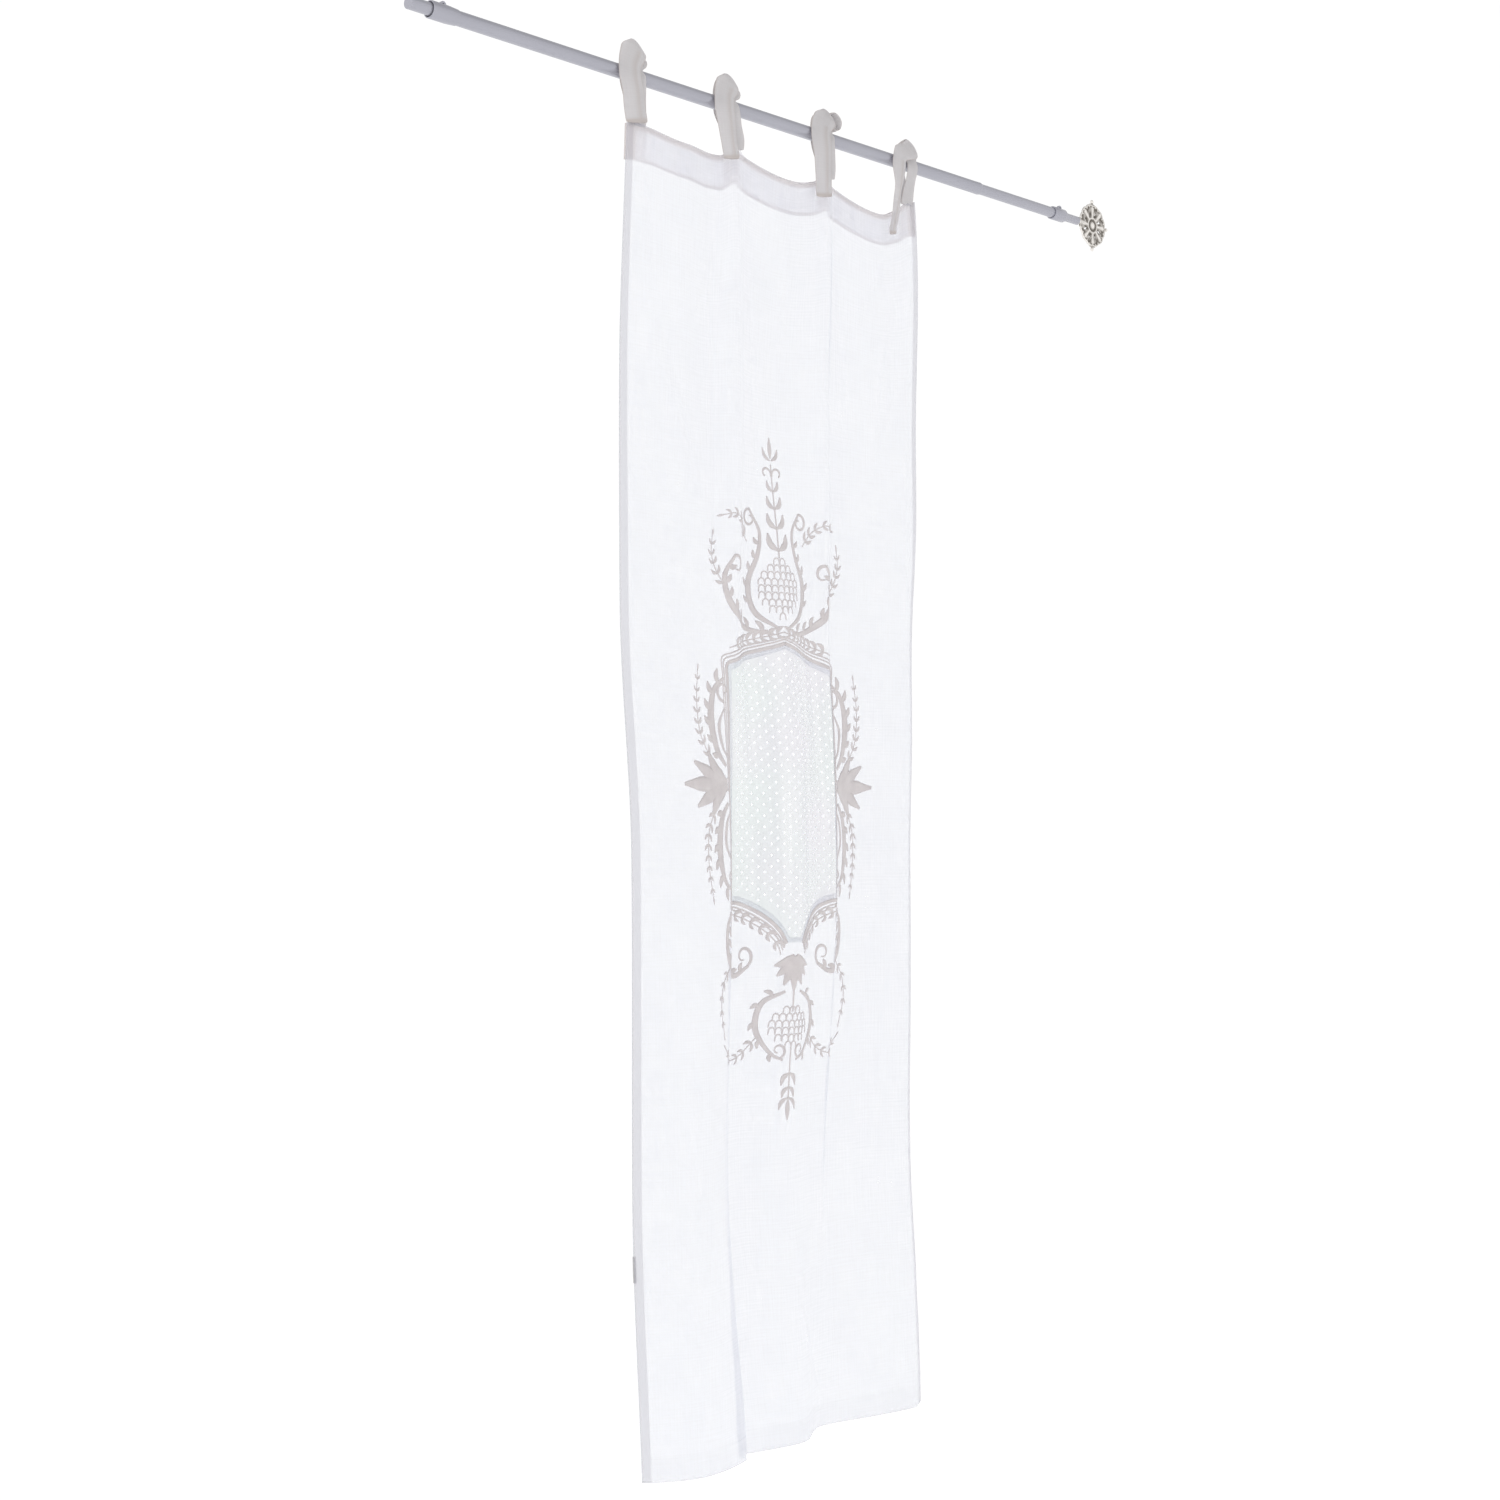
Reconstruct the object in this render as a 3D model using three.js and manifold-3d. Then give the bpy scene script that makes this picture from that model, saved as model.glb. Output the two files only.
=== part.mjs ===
// Tie-top linen curtain hanging from a telescopic rod: millimetres, +Z up, the room on the -Y side.
// The origin is on the rod's axis, above the middle of the cloth.
import * as THREE from "three";
import Module from "manifold-3d";
import { mergeVertices } from "three/addons/utils/BufferGeometryUtils.js";

const wasm = await Module();
wasm.setup();

// The cloth's flat sizes
const WIDTH = 850;
const DROP = 2395;
const TOP_Z = -90; // the top edge's height at the ties
const CLOTH = 1.2;
const HEM = 2.2; // thickness of a turned hem
const SIDE_HEM = 13.5; // full thickness, easing off over as much again
const BOTTOM_HEM = 40;
const HEADING = 66;
const SEAM = 8;
const GAP = 0.3;
const LAYER_GAP = 0.6; // between layers of cloth, which lie closer than this where they slope
const SAG_DEPTH = 800; // below this the cloth hangs level
const SAG_SHARE = 0.62; // how much of the sag draws the edges in; the weave shears for the rest

// Heights down the cloth at which the folds are given, and where the left edge hangs at each
const LEVELS = [
  { level: "heading", down: 0, leftEdge: -405 },
  { level: "upper", down: 450, leftEdge: -420 },
  { level: "shoulder", down: 850, leftEdge: -416 },
  { level: "middle", down: 1300, leftEdge: -385 },
  { level: "lower", down: 1900, leftEdge: -378 },
  { level: "hem", down: DROP, leftEdge: -348 },
];

// One row for each crest or crease of the folds: its place across the flat cloth, how far it
// wanders sideways in the upper part, the sag of the top edge there, and its depth at each level
// (negative towards the room)
const FOLDS = [
  { fold: "left edge", across: 0, drift: 0, sag: -2,
    heading: -12, upper: -10, shoulder: -8, middle: -6, lower: -2, hem: 4 },
  { fold: "first tie", across: 25, drift: 0, sag: 3,
    heading: -12, upper: -13, shoulder: -14, middle: -14, lower: -15, hem: -14 },
  { fold: "left bulge", across: 130, drift: 0, sag: -13,
    heading: -26, upper: -22, shoulder: -5, middle: -21, lower: -58, hem: -52 },
  { fold: "left crease", across: 256, drift: -22, sag: -4,
    heading: 3, upper: 6, shoulder: 0, middle: -3, lower: -10, hem: -26 },
  { fold: "second tie", across: 292, drift: 8, sag: 16,
    heading: -12, upper: -16, shoulder: -7, middle: 17, lower: 15, hem: 4 },
  { fold: "beside it", across: 328, drift: 34, sag: 5,
    heading: -1, upper: 11, shoulder: 14, middle: 14, lower: 23, hem: -5 },
  { fold: "middle bulge", across: 430, drift: 12, sag: -21,
    heading: -20, upper: 17, shoulder: -18, middle: -37, lower: -21, hem: -22 },
  { fold: "before third", across: 524, drift: 0, sag: -2,
    heading: -2, upper: -3, shoulder: 2, middle: -9, lower: 1, hem: 20 },
  { fold: "third tie", across: 558, drift: 6, sag: 14,
    heading: -12, upper: -13, shoulder: -10, middle: -16, lower: 5, hem: 33 },
  { fold: "right crease", across: 594, drift: -4, sag: 1,
    heading: 4, upper: 0, shoulder: 5, middle: 3, lower: 24, hem: 29 },
  { fold: "right bulge", across: 700, drift: 0, sag: -36,
    heading: -24, upper: -13, shoulder: 0, middle: 30, lower: 18, hem: 6 },
  { fold: "before last", across: 797, drift: 0, sag: -7,
    heading: 0, upper: -10, shoulder: -20, middle: -15, lower: -15, hem: -7 },
  { fold: "last tie", across: 825, drift: 0, sag: 11,
    heading: -10, upper: -8, shoulder: -6, middle: -1, lower: -1, hem: 5 },
  { fold: "right edge", across: WIDTH, drift: 0, sag: 16,
    heading: -8, upper: -3, shoulder: 6, middle: 12, lower: 12, hem: 17 },
];
const DRIFT_BY_LEVEL = [0, 1, 0.6, 0, 0, 0];

// The net window in the panel: half width, then distances down the cloth
const WINDOW = { middle: 425, half: 142, apex: 912, shoulder: 958, hip: 1372, foot: 1452, footHalf: 15 };
const NET = 1.0;
const NET_SEAM = 9;

// The ties. Each is a pair of strips sewn into the heading and knotted over the rod. knot is the
// knot's middle along the rod, the other places along it are measured from there
const TIE_WIDTH = 46;
const TIE_CLOTH = 1.6;
const TIE_HALF = TIE_WIDTH / 2;
const TIES = [
  { tie: "1", across: 25, knot: -395, peak: 65, peakShift: 6,
    hoodWidth: 50, nubShift: 9, nubWidth: 64,
    waistShift: 12, tailTop: -11, tailFoot: 6, tailEnd: -92,
    tailWidth: 46, footWidth: 46, tailOut: -20, footOut: -19,
    turn: 12, footTurn: 12 },
  { tie: "2", across: 292, knot: -158, peak: 61, peakShift: 8,
    hoodWidth: 48, nubShift: 13, nubWidth: 60,
    waistShift: 18, tailTop: -10, tailFoot: 17, tailEnd: -98,
    tailWidth: 46, footWidth: 44, tailOut: -20, footOut: -19,
    turn: 12, footTurn: 2 },
  { tie: "3", across: 558, knot: 110, peak: 57, peakShift: 12,
    hoodWidth: 50, nubShift: 20, nubWidth: 76,
    waistShift: 17, tailTop: -12, tailFoot: -3, tailEnd: -121,
    tailWidth: 50, footWidth: 45, tailOut: -20, footOut: -21,
    turn: 14, footTurn: 0 },
  { tie: "4", across: 825, knot: 365, peak: 51, peakShift: 8,
    hoodWidth: 38, nubShift: 9, nubWidth: 56,
    waistShift: 16, tailTop: -24, tailFoot: -50, tailEnd: -156,
    tailWidth: 30, footWidth: 16, tailOut: -20, footOut: -26,
    turn: 8, footTurn: 40 },
];

// The rod and its fittings, all on the X axis
const TUBE_R = 12.5;
const THIN_R = 11;
const WALL = 1.2;
const ROD_SIDES = 32;
const OUTER_START = -832;
const OUTER_END = 614;
const LEFT_END = -880;
const LEFT_INNER_END = -700;
const CAP = 2; // thickness of the left tube's closed end
const RIGHT_INNER_START = 480;
const MOUTH_R = 15;
const COLLAR_START = -837;
const COLLAR_LENGTH = 56;
const COLLAR_TAPER = 20;
const SOCKET_START = 868;
const SOCKET_BORE = 32;
const SOCKET_R = 14;
const NECK_R = 9;
const NECK_END = 963;
const LUG = { fromMouth: 28, half: 11, topRadius: 6, top: 20, thick: 6, hole: 2.4 };
const STUB_R = 5.5;
const STUB_DEPTH = 12;

// The medallion: a pierced rosette facing the room, with four tips
const MEDALLION = {
  x: 1019,
  disc: 44,
  scallop: 2.2,
  tip: 57.5,
  tipRadius: 4.5,
  thick: 6,
  boss: 9,
  bossHeight: 5,
  hub: 15,
  rim: 37,
  piercings: 8,
};

// Colours from the real thing
const linen = new THREE.MeshStandardMaterial({ color: 0xf1eff2, roughness: 0.95, metalness: 0 });
const facing = new THREE.MeshStandardMaterial({ color: 0xe6e3e5, roughness: 0.95, metalness: 0 });
const tieLinen = new THREE.MeshStandardMaterial({ color: 0xd2cfce, roughness: 0.95, metalness: 0 });
const netCloth = new THREE.MeshStandardMaterial({ color: 0xe9eeee, roughness: 0.9, metalness: 0 });
const labelCloth = new THREE.MeshStandardMaterial({ color: 0xb9b6b4, roughness: 0.9, metalness: 0 });
const paint = new THREE.MeshStandardMaterial({ color: 0xaeadba, roughness: 0.45, metalness: 0.2 });
const silver = new THREE.MeshStandardMaterial({ color: 0xb2aca2, roughness: 0.4, metalness: 0.85 });

// A smooth curve through rows that never overshoots them: value at q
function through(xs, ys, q) {
  const last = xs.length - 1;
  const step = xs.slice(1).map((x, i) => x - xs[i]);
  const rise = step.map((h, i) => (ys[i + 1] - ys[i]) / h);
  const slope = (i) => {
    if (i === 0) return rise[0];
    if (i === last) return rise[last - 1];
    if (rise[i - 1] * rise[i] <= 0) return 0;
    const before = 2 * step[i] + step[i - 1];
    const after = step[i] + 2 * step[i - 1];
    return (before + after) / (before / rise[i - 1] + after / rise[i]);
  };
  let i = 0;
  while (i < last - 1 && q >= xs[i + 1]) i += 1;
  const t = (q - xs[i]) / step[i];
  const t2 = t * t;
  const t3 = t2 * t;
  return (
    (2 * t3 - 3 * t2 + 1) * ys[i] +
    (t3 - 2 * t2 + t) * step[i] * slope(i) +
    (3 * t2 - 2 * t3) * ys[i + 1] +
    (t3 - t2) * step[i] * slope(i + 1)
  );
}

const levelDowns = LEVELS.map((l) => l.down);

// The cloth's line at one height. It keeps its length across, so deep folds draw the edges in
const sectionStep = 5;
const sections = new Map();
function sectionAt(down) {
  if (sections.has(down)) return sections.get(down);
  const drift = through(levelDowns, DRIFT_BY_LEVEL, down);
  const places = FOLDS.map((f) => f.across + f.drift * drift);
  const depths = FOLDS.map((f) => through(levelDowns, LEVELS.map((l) => f[l.level]), down));
  const acrosses = FOLDS.map((f) => f.across);
  const sags = FOLDS.map((f) => f.sag);
  const fade = Math.max(0, 1 - down / SAG_DEPTH) ** 2;
  const line = [];
  let x = through(levelDowns, LEVELS.map((l) => l.leftEdge), down);
  for (let across = 0; across <= WIDTH; across += sectionStep) {
    const y = through(places, depths, across);
    const sag = through(acrosses, sags, across) * fade;
    if (line.length) {
      const before = line.at(-1);
      const rise = SAG_SHARE * (sag - before.sag);
      x += Math.sqrt(Math.max(0, sectionStep ** 2 - (y - before.y) ** 2 - rise ** 2));
    }
    line.push({ x, y, sag });
  }
  sections.set(down, line);
  return line;
}

// Where a spot of the flat cloth hangs. Past an edge it goes on straight
function clothPoint(across, down) {
  const line = sectionAt(down);
  const i = THREE.MathUtils.clamp(Math.floor(across / sectionStep), 0, line.length - 2);
  const t = across / sectionStep - i;
  const mix = (key) => line[i][key] + (line[i + 1][key] - line[i][key]) * t;
  return new THREE.Vector3(mix("x"), mix("y"), TOP_Z + mix("sag") - down);
}

// The cloth's direction away from the room at a spot
function clothNormal(across, down) {
  const reach = 4;
  const along = clothPoint(across + reach, down).sub(clothPoint(across - reach, down));
  const up = clothPoint(across, Math.max(0, down - reach)).sub(clothPoint(across, down + reach));
  return up.cross(along).normalize();
}

const offCloth = (across, down, behind) =>
  clothPoint(across, down).addScaledVector(clothNormal(across, down), behind);

const inSideHem = (across) => across <= SIDE_HEM || across >= WIDTH - SIDE_HEM;
const panelThickness = (across, down) =>
  inSideHem(across) || down >= DROP - BOTTOM_HEM ? HEM : CLOTH;

// Stops across the cloth, the same for all that lies on it, so that layers stay apart
function evenStops(from, to, widest) {
  const count = Math.ceil((to - from) / widest);
  return Array.from({ length: count - 1 }, (_, i) => from + ((to - from) * (i + 1)) / count);
}
const tieStops = (tie) => [-1, -0.5, 0, 0.5, 1].map((s) => tie.across + s * TIE_HALF);
const acrossStops = [0, WIDTH];
TIES.forEach((tie, i) => {
  acrossStops.push(...tieStops(tie));
  if (i === 0) return;
  const from = TIES[i - 1].across + TIE_HALF;
  acrossStops.push(...evenStops(from, tie.across - TIE_HALF, 20.5));
});
acrossStops.sort((a, b) => a - b);
const downStops = [
  0,
  SEAM,
  HEADING,
  ...evenStops(HEADING, DROP - BOTTOM_HEM - 4, 96),
  DROP - BOTTOM_HEM - 4,
  DROP - BOTTOM_HEM,
  DROP,
];

// A closed solid from rings of points: each ring goes once round, and both ends are closed.
// The second half of a ring is the back, split along the same diagonals as the front
function loft(rings, endFaces) {
  const count = rings[0].length;
  const positions = rings.flat().flatMap((p) => [p.x, p.y, p.z]);
  const faces = [];
  for (let r = 0; r < rings.length - 1; r += 1)
    for (let k = 0; k < count; k += 1) {
      const a = r * count + k;
      const b = r * count + ((k + 1) % count);
      if (k < count / 2) faces.push(a, b, b + count, a, b + count, a + count);
      else faces.push(a, b, a + count, b, b + count, a + count);
    }
  const lastRing = (rings.length - 1) * count;
  for (const [a, b, c] of endFaces) {
    faces.push(a, c, b);
    faces.push(lastRing + a, lastRing + b, lastRing + c);
  }
  const geometry = new THREE.BufferGeometry();
  geometry.setAttribute("position", new THREE.Float32BufferAttribute(positions, 3));
  geometry.setIndex(faces);
  return geometry;
}

// End faces of a ring made of n front points and n back points in reverse order
function stripEnds(n) {
  const faces = [];
  for (let i = 0; i < n - 1; i += 1) {
    const back = 2 * n - 1 - i;
    faces.push([i, i + 1, back], [i + 1, back - 1, back]);
  }
  return faces;
}

// A sheet lying on the cloth, between two distances behind its front face
function clothSheet(acrosses, downs, front, back) {
  const rings = downs.toReversed().map((down) => [
    ...acrosses.map((a) => offCloth(a, down, front(a, down))),
    ...acrosses.map((a) => offCloth(a, down, back(a, down))).reverse(),
  ]);
  return loft(rings, stripEnds(acrosses.length));
}

function toSolid(geometry) {
  const bare = geometry.index ? geometry.toNonIndexed() : geometry.clone();
  const extra = Object.keys(bare.attributes).filter((name) => name !== "position");
  extra.forEach((name) => bare.deleteAttribute(name));
  const merged = mergeVertices(bare, 1e-4);
  return new wasm.Manifold(
    new wasm.Mesh({
      numProp: 3,
      vertProperties: merged.attributes.position.array,
      triVerts: new Uint32Array(merged.index.array),
    }),
  );
}

function toGeometry(solid) {
  const mesh = solid.getMesh();
  const positions = [];
  for (let i = 0; i < mesh.vertProperties.length; i += mesh.numProp)
    positions.push(...mesh.vertProperties.slice(i, i + 3));
  const geometry = new THREE.BufferGeometry();
  geometry.setAttribute("position", new THREE.Float32BufferAttribute(positions, 3));
  geometry.setIndex(Array.from(mesh.triVerts));
  return geometry;
}

// The window's outline, grown by a margin, as a prism through all folds
function windowPrism(margin) {
  const w = WINDOW;
  const side = w.half + margin;
  const flat = new THREE.Shape();
  flat.moveTo(0, w.apex - margin);
  const shoulder = w.shoulder - margin;
  const hip = w.hip + margin;
  const inner = 0.2 * side;
  const outer = 0.55 * side;
  const archIn = shoulder - 34;
  const archOut = shoulder - 30;
  flat.bezierCurveTo(-inner, archIn, -outer, archOut, -side, shoulder);
  const steps = 7;
  const sideDown = (i) => shoulder + ((hip - shoulder) * i) / steps;
  for (let i = 1; i <= steps; i += 1) flat.lineTo(-side, sideDown(i));
  const foot = w.foot + margin;
  const footHalf = w.footHalf + margin / 2;
  flat.bezierCurveTo(-outer, hip + 4, -inner, foot - 34, -footHalf, foot);
  flat.lineTo(footHalf, foot);
  flat.bezierCurveTo(inner, foot - 34, outer, hip + 4, side, hip);
  for (let i = steps - 1; i >= 0; i -= 1) flat.lineTo(side, sideDown(i));
  flat.bezierCurveTo(outer, archOut, inner, archIn, 0, w.apex - margin);
  const outline = flat.getPoints(5).map((p) => {
    const hung = clothPoint(w.middle + p.x, p.y);
    return new THREE.Vector2(hung.x, hung.z);
  });
  const reach = 80;
  const options = { depth: 2 * reach, bevelEnabled: false };
  return new THREE.ExtrudeGeometry(new THREE.Shape(outline), options)
    .rotateX(Math.PI / 2)
    .translate(0, reach, 0);
}

function linenPanel() {
  const sheet = clothSheet(acrossStops, downStops, () => 0, panelThickness);
  return toGeometry(toSolid(sheet).subtract(toSolid(windowPrism(0))));
}

function netInset() {
  const reach = WINDOW.half + 2 * NET_SEAM;
  const acrosses = acrossStops.filter((a) => Math.abs(a - WINDOW.middle) < reach + 12);
  const spare = 110;
  const downs = downStops.filter((d) => d > WINDOW.apex - spare && d < WINDOW.foot + spare);
  const sheet = clothSheet(acrosses, downs, () => CLOTH + LAYER_GAP, () => CLOTH + LAYER_GAP + NET);
  return toGeometry(toSolid(sheet).intersect(toSolid(windowPrism(NET_SEAM))));
}

// The facing lies behind the heading and swells over the roots of the ties
const tieRoots = 2 * (TIE_CLOTH + LAYER_GAP);
const swellHalf = TIE_HALF + 3; // as far as the cloth's edge beside the outer ties
const overTie = (across) =>
  TIES.some((t) => Math.abs(across - t.across) < swellHalf) ? tieRoots : 0;
const facingFront = (across, down) => panelThickness(across, down) + LAYER_GAP + overTie(across);
function headingFacing() {
  const back = (across, down) => facingFront(across, down) + CLOTH;
  return clothSheet(acrossStops, [0, SEAM, HEADING], facingFront, back);
}

// A ribbon's section where it is free: centre, width, thickness, its turn about Z, and where it
// bends sharply the way it heads in Y and Z
const stripPlaces = [-1, -0.5, 0, 0.5, 1];
const stripCrown = [0.55, 1, 1, 1, 0.55];
function freeRing(row, tangent) {
  const turn = THREE.MathUtils.degToRad(row.turn ?? 0);
  const side = new THREE.Vector3(Math.cos(turn), -Math.sin(turn), 0);
  side.addScaledVector(tangent, -side.dot(tangent)).normalize();
  const face = new THREE.Vector3().crossVectors(tangent, side).normalize();
  const at = (s, crown) =>
    new THREE.Vector3(row.x, row.y, row.z)
      .addScaledVector(side, (s * row.width) / 2)
      .addScaledVector(face, (crown * row.thick) / 2);
  return [
    ...stripPlaces.map((s, i) => at(s, -stripCrown[i])),
    ...stripPlaces.map((s, i) => at(s, stripCrown[i])).reverse(),
  ];
}

// A strip that starts between the layers of the heading and then goes through free rows
function strip(tie, layer, rows) {
  const depth = (a, d) => panelThickness(a, d) + LAYER_GAP + layer * (TIE_CLOTH + LAYER_GAP);
  const root = [SEAM, 0].map((down) => {
    const front = tieStops(tie).map((a) => offCloth(a, down, depth(a, down)));
    const back = tieStops(tie).map((a) => offCloth(a, down, depth(a, down) + TIE_CLOTH));
    return [...front, ...back.reverse()];
  });
  const centres = rows.map((r) => new THREE.Vector3(r.x, r.y, r.z));
  const start = clothPoint(tie.across, 0);
  const free = rows.map((row, i) => {
    const before = i > 0 ? centres[i - 1] : start;
    const after = i < rows.length - 1 ? centres[i + 1] : centres[i];
    const heads = row.heads ? new THREE.Vector3(0, ...row.heads) : after.clone().sub(before);
    return freeRing(row, heads.normalize());
  });
  return loft([...root, ...free], stripEnds(stripPlaces.length));
}

// The strip that rises in front of the rod, lies over it and ends in the knot's stub
function knotStrip(tie) {
  const root = clothPoint(tie.across, 0);
  const waist = tie.knot + tie.waistShift;
  const nub = tie.knot + tie.nubShift;
  const wide = tie.nubWidth;
  const rows = [
    { x: root.x, y: -13, z: root.z + 12, width: TIE_WIDTH - 3, thick: TIE_CLOTH },
    { x: (root.x + waist) / 2, y: -14, z: -38, width: 36, thick: 2 },
    { x: waist, y: -14.4, z: -4, width: 32, thick: 2.6 },
    { x: tie.knot + 8, y: -13.9, z: 9, width: 36, thick: 2.6, heads: [0.2, 0.98] },
    { x: nub, y: -12.2, z: 16, width: wide - 14, thick: 8, heads: [0.75, 0.66] },
    { x: nub, y: -8, z: 24.5, width: wide, thick: 21, heads: [0.97, 0.24] },
    { x: nub, y: -1, z: 25.7, width: wide, thick: 25, heads: [1, 0] },
    { x: nub, y: 5, z: 25.5, width: wide - 10, thick: 23, heads: [1, 0] },
    { x: nub, y: 8.5, z: 25, width: wide - 26, thick: 12, heads: [1, 0] },
  ];
  return strip(tie, 0, rows);
}

// The strip that rises behind the rod, folds over the knot and falls in front as the free tail
function tailStrip(tie) {
  const root = clothPoint(tie.across, 0);
  const behind = tie.knot + 10;
  const ridge = tie.knot + tie.peakShift;
  const top = tie.knot + tie.tailTop;
  const foot = tie.knot + tie.tailFoot;
  const fall = tie.tailEnd + 12;
  const tail = { y: tie.footOut, width: tie.tailWidth, thick: TIE_CLOTH, turn: tie.turn };
  const end = { y: tie.footOut, width: tie.footWidth, thick: TIE_CLOTH, turn: tie.footTurn };
  const rows = [
    { x: root.x, y: -6, z: root.z + 12, width: TIE_WIDTH - 8, thick: TIE_CLOTH },
    { x: (root.x + behind) / 2, y: 6, z: -40, width: 30, thick: 2.6 },
    { x: behind, y: 15.3, z: -4, width: 26, thick: 3.6 },
    { x: behind, y: 16.5, z: 18, width: 26, thick: 4 },
    { x: behind, y: 13.5, z: 36, width: 28, thick: 5 },
    { x: ridge, y: 5.5, z: tie.peak - 9, width: 22, thick: 5 },
    { x: ridge, y: -4, z: tie.peak - 2.4, width: 8, thick: 4 },
    { x: ridge - 1, y: -12.5, z: tie.peak - 11, width: 0.58 * tie.hoodWidth, thick: 4 },
    { x: tie.knot + 1, y: -19, z: tie.peak - 27, width: tie.hoodWidth, thick: 3, turn: tie.turn },
    { x: top + 2, y: -20.5, z: 10, width: tie.tailWidth, thick: 2.2, turn: tie.turn },
    { ...tail, x: top, y: tie.tailOut, z: -12 },
    { ...tail, x: (2 * top + foot) / 3, z: -12 + fall / 3 },
    { ...end, x: (top + 3 * foot) / 4, z: -12 + 0.75 * fall },
    { ...end, x: foot, z: tie.tailEnd + SEAM },
    { ...end, x: foot + 0.3, z: tie.tailEnd + SEAM - 1, thick: HEM },
    { ...end, x: foot + 1, z: tie.tailEnd, thick: HEM },
  ];
  return strip(tie, 1, rows);
}

// A narrow blank care label sewn behind the left hem, its edge just past the cloth's
const LABEL = { down: 1998, height: 46, acrosses: [-1, 0, 2, 4.5], thick: 1 };
function careLabel() {
  const behind = HEM + LAYER_GAP;
  const downs = [LABEL.down, LABEL.down + LABEL.height];
  return clothSheet(LABEL.acrosses, downs, () => behind, () => behind + LABEL.thick);
}

// Bodies of revolution round the rod's axis, from a profile of [radius, x]
function turned(profile) {
  const points = profile.map(([radius, x]) => new THREE.Vector2(radius, x));
  return new THREE.LatheGeometry(points, ROD_SIDES).rotateZ(-Math.PI / 2);
}

function tube(radius, from, to) {
  const inner = radius - WALL;
  return turned([[inner, from], [radius, from], [radius, to], [inner, to], [inner, from]]);
}

function leftTube() {
  const inner = THIN_R - WALL;
  const capped = LEFT_END + CAP;
  const outside = [[0, LEFT_END], [THIN_R, LEFT_END], [THIN_R, LEFT_INNER_END]];
  return turned([...outside, [inner, LEFT_INNER_END], [inner, capped], [0, capped]]);
}

// A fitting's upright lug with the hole for its clamping screw
function lugSolid(mouth) {
  const outline = new THREE.Shape();
  const topMiddle = LUG.top - LUG.topRadius;
  outline.moveTo(-LUG.half, MOUTH_R - 5);
  outline.lineTo(LUG.half, MOUTH_R - 5);
  outline.lineTo(LUG.topRadius, topMiddle);
  outline.absarc(0, topMiddle, LUG.topRadius, 0, Math.PI, false);
  outline.closePath();
  const hole = new THREE.Path();
  hole.absarc(0, topMiddle, LUG.hole, 0, 2 * Math.PI, true);
  outline.holes.push(hole);
  const options = { depth: LUG.thick, bevelEnabled: false, curveSegments: 8 };
  const plate = new THREE.ExtrudeGeometry(outline, options)
    .rotateX(Math.PI / 2)
    .translate(mouth + LUG.fromMouth, LUG.thick / 2, 0);
  return toSolid(plate);
}

// Joins a lug to a fitting, clear of the bore that the tube passes through
function withLug(body, mouth, boreRadius, boreEnd) {
  const bore = turned([[0, mouth - 1], [boreRadius, mouth - 1], [boreRadius, boreEnd], [0, boreEnd]]);
  return toGeometry(toSolid(body).add(lugSolid(mouth).subtract(toSolid(bore))));
}

function leftCollar() {
  const bore = TUBE_R + GAP;
  const end = COLLAR_START + COLLAR_LENGTH;
  const ring = turned([
    [bore, COLLAR_START],
    [MOUTH_R - 0.6, COLLAR_START],
    [MOUTH_R, COLLAR_START + 1],
    [MOUTH_R, end - COLLAR_TAPER],
    [bore + 0.8, end],
    [bore, end],
    [bore, COLLAR_START],
  ]);
  return withLug(ring, COLLAR_START, bore, end);
}

function finialSocket() {
  const bore = THIN_R + GAP;
  const boreEnd = SOCKET_START + SOCKET_BORE;
  const stubBore = STUB_R + GAP;
  const body = turned([
    [0, boreEnd],
    [bore, boreEnd],
    [bore, SOCKET_START],
    [SOCKET_R - 0.6, SOCKET_START],
    [SOCKET_R, SOCKET_START + 1],
    [SOCKET_R, SOCKET_START + 40],
    [NECK_R, SOCKET_START + 52],
    [NECK_R, NECK_END],
    [stubBore, NECK_END],
    [stubBore, NECK_END - STUB_DEPTH],
    [0, NECK_END - STUB_DEPTH],
  ]);
  return withLug(body, SOCKET_START, bore, boreEnd);
}

// The medallion's outline: four round tips, and a scalloped rim between them
function medallionOutline() {
  const m = MEDALLION;
  const outline = new THREE.Shape();
  const quarter = Math.PI / 2;
  const flank = 0.16; // half the angle that a tip takes up of the rim
  const tipSweep = 1.9;
  const steps = 9;
  const out = (radius, angle) => [radius * Math.cos(angle), radius * Math.sin(angle)];
  for (let i = 0; i < 4; i += 1) {
    const aim = i * quarter;
    if (i === 0) outline.moveTo(...out(m.disc, aim - flank));
    const [tipX, tipY] = out(m.tip - m.tipRadius, aim);
    outline.absarc(tipX, tipY, m.tipRadius, aim - tipSweep, aim + tipSweep, false);
    for (let k = 0; k <= steps; k += 1) {
      const angle = aim + flank + ((quarter - 2 * flank) * k) / steps;
      outline.lineTo(...out(m.disc + m.scallop * Math.abs(Math.sin((k * Math.PI) / 3)), angle));
    }
  }
  return outline;
}

// One petal-shaped piercing, pointing outwards
function petalHole(aim) {
  const m = MEDALLION;
  const [c, s] = [Math.cos(aim), Math.sin(aim)];
  const corners = [
    { out: m.hub + 3, side: 0 },
    { out: m.hub + 10, side: 4 },
    { out: m.rim - 5, side: 5 },
    { out: m.rim, side: 0 },
    { out: m.rim - 5, side: -5 },
    { out: m.hub + 10, side: -4 },
  ];
  const points = corners.map((q) => new THREE.Vector2(q.out * c - q.side * s, q.out * s + q.side * c));
  return new THREE.Path(points);
}

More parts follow.
